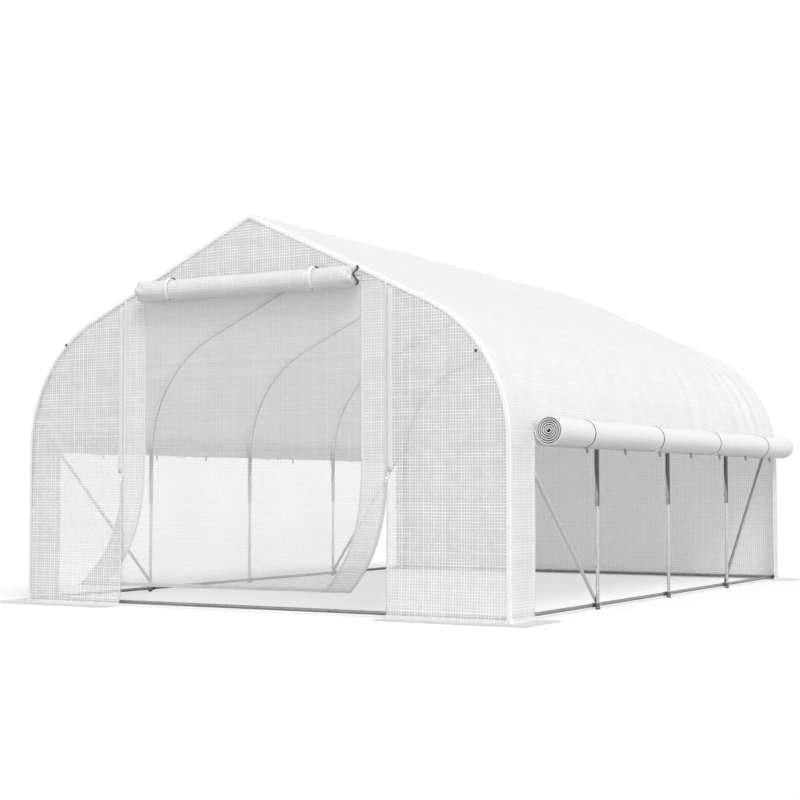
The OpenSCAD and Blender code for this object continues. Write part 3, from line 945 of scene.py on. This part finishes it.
def makeFrontWall():
    right = wallColumns(wall["doorHalf"])
    left = [-x for x in reversed(right)]
    gable = spread(-wall["doorHalf"], 0, wall["step"])[:-1] + spread(0, wall["doorHalf"], wall["step"])
    leftPatch, leftPlace = wallPatch(left, 0.0, -1, True)
    rightPatch, rightPlace = wallPatch(right, 0.0, -1, True)
    gablePatch, gablePlace = wallPatch(gable, wall["doorTop"], -1, False)
    sheet = wallPiece(
        "frontWall",
        [leftPatch, rightPatch, gablePatch],
        -1,
        wallCloth,
        ["front_gable", "front_left_panel", "front_right_panel", "front_skirts"],
    )
    hems, seams = [], []
    lower = spread(0, wall["tapeFrom"], wall["edgeStep"])
    upper = spread(wall["tapeFrom"], wall["tapeTo"], wall["edgeStep"])
    skirtXs = spread(wall["doorHalf"], tunnel["halfWidth"] - wall["seamEnd"], wall["edgeStep"])
    fromOuter, fromInner = wall["tapeStitch"]
    for side, place in ((-1, leftPlace), (1, rightPlace)):
        # zip tape beside the doorway, and a narrow folded edge below it
        for shares, width in zip((lower, upper), wall["tape"]):
            path = [place(side * wall["doorHalf"], share)[0] for share in shares]
            hems.append(flatRibbon(path, (side, 0, 0), (0, -1, 0), width, wall["tapeThick"]))
            seams.append(moved(path, side * (width - fromOuter), -wall["tapeStitchOut"], 0))
        seams.append(moved(path, side * fromInner, -wall["tapeStitchOut"], 0))
        seams.append(skirtSeam(place, [side * x for x in skirtXs], -1))
    gableXs = spread(-wall["gableHalf"], wall["gableHalf"], wall["gableStep"])
    path = [gablePlace(x, 0.0)[0] for x in gableXs]
    hems.append(flatRibbon(path, (0, 0, 1), (0, -1, 0), wall["gableHem"], wall["gableThick"]))
    hemPiece = ribbonPiece("frontHems", hems, pipingCloth)
    stitchPiece = sew("frontStitches", seams, wallStitch)


def makeRearWall():
    right = wallColumns(0.0)
    columns = [-x for x in reversed(right)] + right[1:]
    patch, place = wallPatch(columns, 0.0, 1, True)
    sheet = wallPiece("rearWall", [patch], 1, rearCloth, ["rear_wall", "rear_skirt"])
    seamEnd = tunnel["halfWidth"] - wall["seamEnd"]
    seam = skirtSeam(place, spread(-seamEnd, seamEnd, wall["edgeStep"]), 1)
    stitchPiece = sew("rearStitches", [seam], wallStitch)


makeFrontWall()
makeRearWall()
print("end walls hung")


# Net door between two cloth bands, unzipped at the foot and swept aside

netDoor = {
    "halfWidth": 0.829,
    "band": 0.152,
    "foot": 0.106,
    "swayTop": 0.855,
    "sway": 0.3,
    "swayLeft": 0.01,
    "swayRight": 0.14,
    "power": 3.2,
    "at": -2.1222,
    "behind": 0.0036,
    "billow": 0.006,
    "fold": 0.007,
    "slack": 1.06,  # cloth length over doorway height
    "acrossStep": 0.02,
    "downStep": 0.012,  # as a share of the height
    "piping": 0.015,
    "pipingThick": 0.0034,
    "hem": 0.02,
    "hemThick": 0.003,
}
doorZip = {
    "openBelow": 0.69,
    "gap": 0.0015,  # from the door's edge to the teeth
    "out": (0.0012, 0.0015),  # from the door and from the wall
    "top": 0.03,  # share of the height above the teeth
    "foot": 0.06,
    "teeth": {"Pitch": 0.006, "Tooth": (0.006, 0.003, 0.0034), "Material": zipPlastic},
    "slider": (0.009, 0.007),  # width and thickness
    "pull": (0.0055, 0.002),
}


def doorPoint(x, share):
    top = min(wall["doorTop"], tunnel["ridge"] - abs(x) * math.tan(roofPitch) - 0.0003)
    z = top + (netDoor["foot"] - top) * share
    low = max(0.0, (netDoor["swayTop"] - z) / (netDoor["swayTop"] - netDoor["foot"]))
    swept = low ** netDoor["power"]
    across = x / (2 * netDoor["halfWidth"]) + 0.5
    inwards = netDoor["behind"] * min(1.0, low * 8)
    inwards += (netDoor["swayLeft"] + (netDoor["swayRight"] - netDoor["swayLeft"]) * across) * swept
    middle = smooth(netDoor["halfWidth"] - abs(x), 0.0, 0.2) * smooth(share, 0.0, 0.15)
    soft = netDoor["billow"] * middle * (0.6 + noise.noise((x * 1.7, z * 1.2, 3.3)))
    fold = netDoor["fold"] * low * middle * math.sin(2 * math.pi * (2.6 * x + 0.8 * z))
    return Vector((x - netDoor["sway"] * swept, netDoor["at"] + inwards + soft + fold, z)), (x, z)


def bandPiping(x, toward):
    # Piping down one edge of a band, laid towards its middle
    path, sides = [], []
    for share in spread(0, 1, netDoor["downStep"]):
        spot = doorPoint(x, share)[0]
        path.append(spot)
        sides.append((doorPoint(x + toward * 0.01, share)[0] - spot).normalized())
    fronts = [(0, -1, 0)] * len(path)
    return ribbonPatch(path, sides, fronts, netDoor["piping"], netDoor["pipingThick"])


def makeNetDoor():
    edge, band = netDoor["halfWidth"], netDoor["band"]
    down = spread(1, 0, netDoor["downStep"])
    strips = {
        "netDoor": (-edge + band, edge - band, doorNet, "insect_mesh", "screen_door"),
        "leftBand": (-edge, -edge + band, bandCloth, "band_cloth", "left_zip_band"),
        "rightBand": (edge - band, edge, bandCloth, "band_cloth", "right_zip_band"),
    }
    for name, (first, last, cloth, slotName, node) in strips.items():
        xs = spread(first, last, netDoor["acrossStep"])
        mesh = meshFrom(name, [sheetPatch(xs, down, doorPoint)])
        strip = addPiece(name, mesh, cloth, [node])
        patches = []
        if name != "netDoor":
            patches = [bandPiping(first, 1), bandPiping(last, -1)]
        foot = [doorPoint(x, 1.0)[0] for x in xs]
        patches.append(flatRibbon(foot, (0, 0, 1), (0, -1, 0), netDoor["hem"], netDoor["hemThick"]))
        piping = ribbonPiece(name + "Piping", patches, pipingCloth)


def makeZips():
    # Closed above the sweep; below it each half stays on its own edge
    lines, sliders = [], []
    openAt = (wall["doorTop"] - doorZip["openBelow"]) / (wall["doorTop"] - netDoor["foot"])
    shares = spread(doorZip["top"], openAt, 0.02) + spread(openAt, 1.0, netDoor["downStep"])[1:]
    heights = spread(doorZip["foot"], doorZip["openBelow"], 0.03)
    fromDoor, fromWall = doorZip["out"]
    right, front = (1, 0, 0), (0, -1, 0)
    for side in (-1, 1):
        edge = side * (netDoor["halfWidth"] + doorZip["gap"])
        lines.append(moved([doorPoint(edge, share)[0] for share in shares], 0, -fromDoor, 0))
        lines.append([(edge, -wall["at"] - fromWall, z) for z in heights])
        # a slider with its pull where each zip is open
        top = doorPoint(edge, openAt)[0] + Vector((-0.0045, -0.006, 0))
        body = [top + Vector((0, 0, -0.007 * k)) for k in range(3)]
        sliders.append(flatRibbon(body, right, front, *doorZip["slider"]))
        pull = [top + Vector((0.0018, -0.005 - 0.001 * k, -0.004 - 0.007 * k)) for k in range(5)]
        sliders.append(flatRibbon(pull, right, front, *doorZip["pull"]))
    points, edges = polyline(lines)
    addPiece("zipTeeth", grow("zipTeeth", zipTeeth, doorZip["teeth"], points, edges), None)
    ribbonPiece("zipSliders", sliders, threadYarn)


makeNetDoor()
makeZips()
print("net door hung and zipped")


# Rolled curtains: cloth wound to a spiral, made by one tree

def rollTree():
    floats = ["Length", "Turns", "Core", "Radius", "Free End", "Sense", "Rumple", "Crumple", "Droop"]
    floats += ["Spans", "Telescope", "Seed"]
    inputs = {label: "Float" for label in floats}
    inputs.update({"Stations": "Int", "Ring Points": "Int", "Place": "Vector", "Turn": "Vector"})
    tree, given = nodeGroup("rolledCurtain", inputs)

    def plus(first, second):
        return calc(tree, "ADD", first, second)

    def minus(first, second):
        return calc(tree, "SUBTRACT", first, second)

    def times(first, second):
        return calc(tree, "MULTIPLY", first, second)

    def noiseAt(place, detail):
        inputs = {"Vector": place, "Scale": 1.0, "Detail": detail}
        return minus(addNode(tree, "ShaderNodeTexNoise", inputs).outputs[0], 0.5)

    size = {"Vertices X": given["Stations"], "Vertices Y": given["Ring Points"]}
    flat = addNode(tree, "GeometryNodeMeshGrid", {"Size X": 1.0, "Size Y": 1.0, **size})
    spot = splitAxes(tree, addNode(tree, "GeometryNodeInputPosition").outputs[0])
    along = spot["X"]  # from -0.5 to 0.5
    wound = plus(spot["Y"], 0.5)
    sweep = times(given["Turns"], 2 * math.pi)
    back = times(minus(1.0, wound), sweep)
    angle = plus(given["Free End"], times(given["Sense"], back))
    radius = plus(given["Core"], times(minus(given["Radius"], given["Core"]), wound))
    cosine = calc(tree, "COSINE", angle)
    sine = calc(tree, "SINE", angle)
    runs = times(along, given["Length"])
    # soft dents, longer along the roll than round it
    dentAt = joinAxes(
        tree, X=plus(times(runs, 5.0), given["Seed"]), Y=times(cosine, 1.1), Z=times(sine, 1.1)
    )
    depth = times(noiseAt(dentAt, 2.0), given["Rumple"])
    # gathered, twisted ends
    nearEnd = ramp(tree, calc(tree, "ABSOLUTE", times(along, 2.0)), 0.9, 1.0)
    pleat = calc(tree, "SINE", plus(times(angle, 5.0), times(runs, 40.0)))
    pinch = times(plus(times(pleat, 0.5), 0.5), given["Crumple"])
    shaped = times(radius, minus(plus(1.0, depth), times(pinch, nearEnd)))
    # the windings end a little before or after each other
    windingAt = joinAxes(tree, X=times(times(wound, given["Turns"]), 1.7), Y=given["Seed"])
    slide = times(noiseAt(windingAt, 1.0), given["Telescope"])
    lengthwise = plus(runs, times(slide, calc(tree, "SIGN", along)))
    # sag between the ties
    phase = times(plus(along, 0.5), given["Spans"])
    sag = times(calc(tree, "ABSOLUTE", calc(tree, "SINE", times(phase, math.pi))), given["Droop"])
    rolled = joinAxes(tree, X=times(shaped, cosine), Y=lengthwise, Z=minus(times(shaped, sine), sag))
    # cloth coordinates: metres along the roll and along the winding
    mean = times(plus(radius, given["Core"]), 0.5)
    coordinate = joinAxes(tree, X=runs, Y=times(times(wound, sweep), mean))
    mapped = addNode(
        tree,
        "GeometryNodeStoreNamedAttribute",
        {"Geometry": flat.outputs["Mesh"], "Name": "cloth", "Value": coordinate},
        data_type="FLOAT2",
        domain="CORNER",
    )
    bent = {"Geometry": mapped.outputs[0], "Position": rolled}
    wrapped = addNode(tree, "GeometryNodeSetPosition", bent).outputs[0]
    hung = {"Geometry": wrapped, "Translation": given["Place"], "Rotation": given["Turn"]}
    placed = addNode(tree, "GeometryNodeTransform", hung)
    return closeGroup(tree, placed.outputs[0], given["Material"])


rolledCurtain = rollTree()

sideRoll = {
    "x": 1.579,
    "z": 0.915,
    "front": -1.86,
    "length": 3.87,
    "radius": 0.075,
    "core": 0.007,
    "turns": 6,
    "ply": 0.0054,
    "cloth": rolledCloth,
    "rumple": 0.035,
    "crumple": 0.0,
    "droop": 0.004,
    "spans": 4,
    "telescope": 0.006,
    "stations": 150,
    "ringPoints": 30,  # in one turn
    "seeds": {-1: 11.0, 1: 3.0},
}
sideTie = {
    "count": 4,
    "front": 0.4,  # from the roll's ends to the outer ties
    "rear": 0.57,
    "width": 0.018,
    "thick": 0.0022,
    "lift": 0.001,
    "ringPoints": 48,
    "tails": (1, 2),  # the ties with a loose tail
    "tail": (0.16, 0.01, 0.003),  # length, width and thickness
    "tailAngles": (-52, -78),
    "tailLift": 0.0015,
    "tailSag": 0.012,
    "cord": 0.0095,  # painted shadow: a dark line beside each tie
    "shadowAt": 0.0045,
    "shadowLift": 0.0018,
}
rollTab = {
    "count": 7,
    "front": -1.4,
    "pitch": 0.515,
    "in": 0.008,
    "up": 0.006,
    "width": 0.014,
    "thick": 0.003,
    "step": (0.0008, 0.001, -0.0085),  # outwards, back and down
    "steps": 4,
}
doorRoll = {
    "x": 0.014,
    "y": -2.1869,
    "z": 1.686,
    "length": 1.345,
    "radius": 0.061,
    "core": 0.007,
    "turns": 5,
    "ply": 0.0066,
    "cloth": doorRollCloth,
    "rumple": 0.1,
    "crumple": 0.3,
    "droop": 0.005,
    "spans": 3,
    "telescope": 0.014,
    "stations": 110,
    "ringPoints": 30,
    "seed": 6.0,
}
doorTie = {
    "at": 0.45,  # either side of the middle
    "thick": 0.0024,
    "step": 0.12,
    "band": {"width": 0.022, "lift": 0.001, "angles": (-62, 70)},
    # painted shade: the part of each tie behind the roll is dark
    "loop": {"width": 0.0132, "lift": -0.0005, "angles": (62, 306)},
}
# painted shade: a dark wavy bow at the door roll's right end
endShadeBow = {
    "width": 0.011,
    "thick": 0.006,
    "top": 0.05,
    "drop": 0.1,
    "out": 0.006,
    "back": -0.012,
    "swing": (0.003, 0.018),
    "waves": 1.4,
}


def woundLength(roll, turns):
    # Cloth in the first turns of a roll
    last = roll["core"] + (roll["radius"] - roll["core"]) * turns / roll["turns"]
    return 2 * math.pi * turns * (roll["core"] + last) / 2


def makeRoll(name, roll, values, node):
    common = {
        "Length": roll["length"],
        "Turns": float(roll["turns"]),
        "Core": roll["core"],
        "Radius": roll["radius"] - roll["ply"] / 2,
        "Rumple": roll["rumple"],
        "Crumple": roll["crumple"],
        "Droop": roll["droop"],
        "Spans": float(roll["spans"]),
        "Telescope": roll["telescope"],
        "Stations": roll["stations"],
        "Ring Points": roll["ringPoints"] * roll["turns"] + 1,
        "Material": roll["cloth"],
    }
    mesh = grow(name, rolledCurtain, {**common, **values}, thickness=roll["ply"])
    turnOutwards(mesh)
    mesh.shade_smooth()
    # painted shade: the inner windings are painted dark where the gaps between them lie in shade, and
    # the cut ends are painted greyer as shade
    mesh.materials.append(rolledInsideShade)
    mesh.materials.append(rolledEdgeShade)
    lengthwise = 0 if values["Turn"][2] else 1
    hidden = woundLength(roll, roll["turns"] - 1)
    paid = mesh.uv_layers["cloth"].data
    for face in mesh.polygons:
        if abs(face.normal[lengthwise]) > 0.7:
            face.material_index = 2
        elif paid[face.loop_start].uv.y < hidden:
            face.material_index = 1
    piece = addPiece(name, mesh, None, [node])


def tieLoop(centre, side, width, lift):
    # A tape round a side roll that follows its winding
    pitch = (sideRoll["radius"] - sideRoll["core"]) / sideRoll["turns"]
    free = math.pi if side > 0 else 0.0
    along = Vector((0, 1, 0))
    path, normals = [], []
    count = sideTie["ringPoints"]
    for k in range(count):
        angle = 2 * math.pi * k / count
        out = Vector((math.cos(angle), 0, math.sin(angle)))
        back = (angle - free) * side / (2 * math.pi) % 1
        drop = pitch * min(back, 9 * (1 - back))
        path.append(Vector(centre) + out * (sideRoll["radius"] + lift - drop) - along * width / 2)
        normals.append(out)
    return ribbonPatch(path, [along] * count, normals, width, sideTie["thick"], closed=True)


def tieTail(centre, side):
    # The free end of a tape, laid along the underside of its roll
    length, width, thick = sideTie["tail"]
    first, last = sideTie["tailAngles"]
    along = Vector((0, 1, 0))
    path, normals = [], []
    steps = 12
    for k in range(steps + 1):
        share = k / steps
        angle = math.radians(first + (last - first) * share)
        out = Vector((side * math.cos(angle), 0, math.sin(angle)))
        dip = sideTie["tailSag"] * math.sin(math.pi * share) + sideTie["tailLift"]
        path.append(Vector(centre) + out * (sideRoll["radius"] + dip) - along * length * share)
        normals.append(out)
    across = [normal.cross(along).normalized() * -1 for normal in normals]
    return ribbonPatch(path, across, normals, width, thick)


def tieArc(x, part):
    # Part of a tape round the door roll, by angles up from its front
    centre = Vector((x, doorRoll["y"], doorRoll["z"]))
    radius = doorRoll["radius"] + part["lift"]
    first, last = part["angles"]
    path, normals = [], []
    for angle in spread(math.radians(first), math.radians(last), doorTie["step"]):
        out = Vector((0, -math.cos(angle), math.sin(angle)))
        path.append(centre + out * radius - Vector((part["width"] / 2, 0, 0)))
        normals.append(out)
    return ribbonPatch(path, [(1, 0, 0)] * len(path), normals, part["width"], doorTie["thick"])


def tieSideRoll(side, label):
    pitch = (sideRoll["length"] - sideTie["front"] - sideTie["rear"]) / (sideTie["count"] - 1)
    straps = label + "_roll_straps"
    ties, cords, tabs = [], [], []
    for k in range(sideTie["count"]):
        y = sideRoll["front"] + sideTie["front"] + k * pitch
        along = (y - sideRoll["front"]) / sideRoll["length"]
        sag = sideRoll["droop"] * abs(math.sin(math.pi * sideRoll["spans"] * along))
        centre = (side * sideRoll["x"], y, sideRoll["z"] - sag)
        ties.append(tieLoop(centre, side, sideTie["width"], sideTie["lift"]))
        if k in sideTie["tails"]:
            ties.append(tieTail(centre, side))
        # painted shadow: a dark line beside each tie, where the tie's shadow falls on the roll
        beside = (centre[0], y + sideTie["width"] / 2 + sideTie["shadowAt"], centre[2])
        cords.append(tieLoop(beside, side, sideTie["cord"], sideTie["shadowLift"]))
    ribbonPiece(label + "Ties", ties, plainTape, [straps])
    ribbonPiece(label + "TieShadows", cords, paintedShadeCord)
    x = side * (sideRoll["x"] - rollTab["in"])
    z = sideRoll["z"] - sideRoll["radius"] + rollTab["up"]
    out, back, down = rollTab["step"]
    for k in range(rollTab["count"]):
        top = Vector((x, rollTab["front"] + k * rollTab["pitch"], z))
        path = [top + Vector((side * out * i, back * i, down * i)) for i in range(rollTab["steps"] + 1)]
        tabs.append(flatRibbon(path, (side, 0, 0), (0, -1, 0), rollTab["width"], rollTab["thick"]))
    ribbonPiece(label + "RollTabs", tabs, tabTape)


def makeSideRolls():
    middle = sideRoll["front"] + sideRoll["length"] / 2
    for side, label in ((-1, "left"), (1, "right")):
        values = {
            "Free End": math.pi if side > 0 else 0.0,
            "Sense": float(side),
            "Seed": sideRoll["seeds"][side],
            "Place": (side * sideRoll["x"], middle, sideRoll["z"]),
            "Turn": (0.0, 0.0, 0.0),
        }
        makeRoll(label + "Roll", sideRoll, values, label + "_side_roll")
        tieSideRoll(side, label)


def makeDoorRoll():
    values = {
        "Free End": 0.0,
        "Sense": -1.0,
        "Seed": doorRoll["seed"],
        "Place": (doorRoll["x"], doorRoll["y"], doorRoll["z"]),
        "Turn": (0.0, 0.0, math.pi / 2),
    }
    makeRoll("doorRoll", doorRoll, values, "door_roll")
    places = (-doorTie["at"], doorTie["at"])
    bands = [tieArc(x, doorTie["band"]) for x in places]
    # painted shade: each tie is dark where it goes round behind the roll
    loops = [tieArc(x, doorTie["loop"]) for x in places]
    # a dark wavy bow at the right end, painted shade for the shaded gaps of its crumpled windings
    end = Vector((doorRoll["x"] + doorRoll["length"] / 2, doorRoll["y"], doorRoll["z"]))
    swingOut, swingBack = endShadeBow["swing"]
    bow = []
    for share in spread(0, 1, 0.04):
        swing = math.sin(2 * math.pi * endShadeBow["waves"] * share + 0.6)
        out = endShadeBow["out"] + swingOut * swing
        back = swingBack * swing + endShadeBow["back"]
        bow.append(end + Vector((out, back, endShadeBow["top"] - endShadeBow["drop"] * share)))
    loops.append(flatRibbon(bow, (0, 1, 0), (1, 0, 0), endShadeBow["width"], endShadeBow["thick"]))
    ribbonPiece("doorTies", bands, plainTape, ["door_roll_straps"])
    ribbonPiece("doorTieShade", loops, paintedShadeCord)


makeSideRolls()
makeDoorRoll()
print("curtains rolled and tied")


# Frame: the tubes stay as they are and get their finish; screws hold the joints

baseRails = ["left_base_rail", "right_base_rail", "front_base_rail", "rear_base_rail"]
finishes = [
    (bendSteel, ["left_bends", "right_bends", "left_rafters", "right_rafters", "ridge_pole"]),
    (dullSteel, ["left_rear_brace", "right_rear_brace"] + baseRails),
    (steel, ["left_legs", "right_legs", "peak_connectors", "left_front_brace", "right_front_brace"]),
    (plastic, ["left_base_clamps", "right_base_clamps", "foot_caps"]),
]
for finish, names in finishes:
    for name in names:
        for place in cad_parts[name].material_slots:
            place.material = finish

fixing = {
    "size": 0.0058,
    "swage": 0.6,
    "clampZ": 0.022,
    "braceTop": 1.01,
    "braceTopIn": 0.0185,  # from the tube's middle to the face of the brace's flattened end
    "braceFoot": 0.048,
    "braceFootIn": 0.0148,
    "button": 0.008,
    "buttonAt": ((-1.236, 1.43), (1.322, 1.29)),
}


def makeScrews():
    spots, facing = [], []
    tubeR = tunnel["tube"] / 2
    legX = tunnel["halfWidth"] - tubeR
    rise = fixing["braceTop"] - tunnel["legTop"]
    braceX = bendX + math.sqrt((tunnel["bendRadius"] - tubeR) ** 2 - rise ** 2)
    for side in (-1, 1):
        for y in hoopPlaces:
            spots.append((side * (legX - tubeR), y, fixing["swage"]))
            facing.append((-side, 0, 0))
        for y in hoopPlaces[1:-1]:
            spots.append((side * (legX + tubeR), y, fixing["clampZ"]))
            facing.append((side, 0, 0))
        for end in (-1, 1):
            top = side * (braceX - fixing["braceTopIn"])
            spots.append((top, end * hoopPlaces[-1], fixing["braceTop"]))
            facing.append((-side, 0, 0))
            foot = side * (legX - fixing["braceFootIn"])
            spots.append((foot, end * hoopPlaces[-2], fixing["braceFoot"]))
            facing.append((-side, 0, 0))
    mesh = grow("screws", screws, {"Size": fixing["size"], "Material": steel}, spots, (), facing)
    addPiece("screws", mesh, None)
    # two dark buttons hold the front wall to the first hoop
    spots = [(x, -wall["at"] - 0.002, z) for x, z in fixing["buttonAt"]]
    facing = [(0, -1, 0)] * len(spots)
    mesh = grow("buttons", screws, {"Size": fixing["button"], "Material": plastic}, spots, (), facing)
    addPiece("buttons", mesh, None)


makeScrews()
print("frame finished")


# Camera, light and ground

view = {
    "from": (4.802, -8.903, 0.632),
    "tilt": 93.17,
    "turn": 29.89,
    "sensor": 36,
    "lens": 72.12,
}
studio = {
    "horizon": 1.2,
    "zenith": 0.52,
    "key": 1.68,
    "keyFrom": (0.52, -0.48, 0.71),
    "keyAngle": 26,
    "ground": 0.58,
    "lift": 0.42,  # what the camera sees on top, so that the ground looks white
    "reach": 60,
    "fade": (3.2, 6.5),  # where the ground turns white, from the middle
}


def makeCamera():
    camera = addObject("camera", bpy.data.cameras.new("camera"))
    camera.location = view["from"]
    camera.rotation_euler = (math.radians(view["tilt"]), 0, math.radians(view["turn"]))
    camera.data.sensor_width = view["sensor"]
    camera.data.lens = view["lens"]
    bpy.context.scene.camera = camera


def makeLight():
    sun = addObject("key", bpy.data.lights.new("key", "SUN"))
    sun.data.energy = studio["key"]
    sun.data.angle = math.radians(studio["keyAngle"])
    sun.rotation_euler = Vector(studio["keyFrom"]).to_track_quat("Z", "Y").to_euler()
    world = bpy.data.worlds.new("studio")
    bpy.context.scene.world = world
    world.use_nodes = True
    tree = world.node_tree
    tree.nodes.clear()
    path = addNode(tree, "ShaderNodeLightPath").outputs
    seen = calc(tree, "MAXIMUM", path["Is Camera Ray"], path["Is Glossy Ray"])
    seen = calc(tree, "MAXIMUM", seen, path["Is Transmission Ray"])
    height = splitAxes(tree, addNode(tree, "ShaderNodeTexCoord").outputs["Generated"])["Z"]
    level = ramp(tree, height, 0.0, 0.9, studio["horizon"], studio["zenith"])
    sky = addNode(tree, "ShaderNodeBackground", {"Color": grey(1.0), "Strength": level})
    white = addNode(tree, "ShaderNodeBackground", {"Color": grey(1.0), "Strength": 1.0})
    surface = mixShaders(tree, seen, sky.outputs[0], white.outputs[0])
    addNode(tree, "ShaderNodeOutputWorld", {"Surface": surface})


def makeGround():
    reach = studio["reach"]
    corners = [(-reach, -reach, 0), (reach, -reach, 0), (reach, reach, 0), (-reach, reach, 0)]
    mesh = bpy.data.meshes.new("ground")
    mesh.from_pydata(corners, [], [(0, 1, 2, 3)])
    ground = addObject("ground", mesh)
    material, tree = newMaterial("ground")
    length = addNode(tree, "ShaderNodeVectorMath", {0: objectPlace(tree)}, operation="LENGTH")
    away = length.outputs["Value"]
    toCamera = addNode(tree, "ShaderNodeLightPath").outputs["Is Camera Ray"]
    matt = addNode(tree, "ShaderNodeBsdfDiffuse", {"Color": grey(studio["ground"])})
    strength = calc(tree, "MULTIPLY", toCamera, studio["lift"])
    lift = addNode(tree, "ShaderNodeEmission", {"Strength": strength})
    near = addNode(tree, "ShaderNodeAddShader", {0: matt.outputs[0], 1: lift.outputs[0]})
    far = addNode(tree, "ShaderNodeEmission", {"Strength": 1.0})
    share = calc(tree, "MULTIPLY", ramp(tree, away, *studio["fade"]), toCamera)
    mesh.materials.append(coat(material, mixShaders(tree, share, near.outputs[0], far.outputs[0])))


makeCamera()
makeLight()
makeGround()
bpy.context.scene.view_settings.view_transform = "Standard"
print("camera and light set")
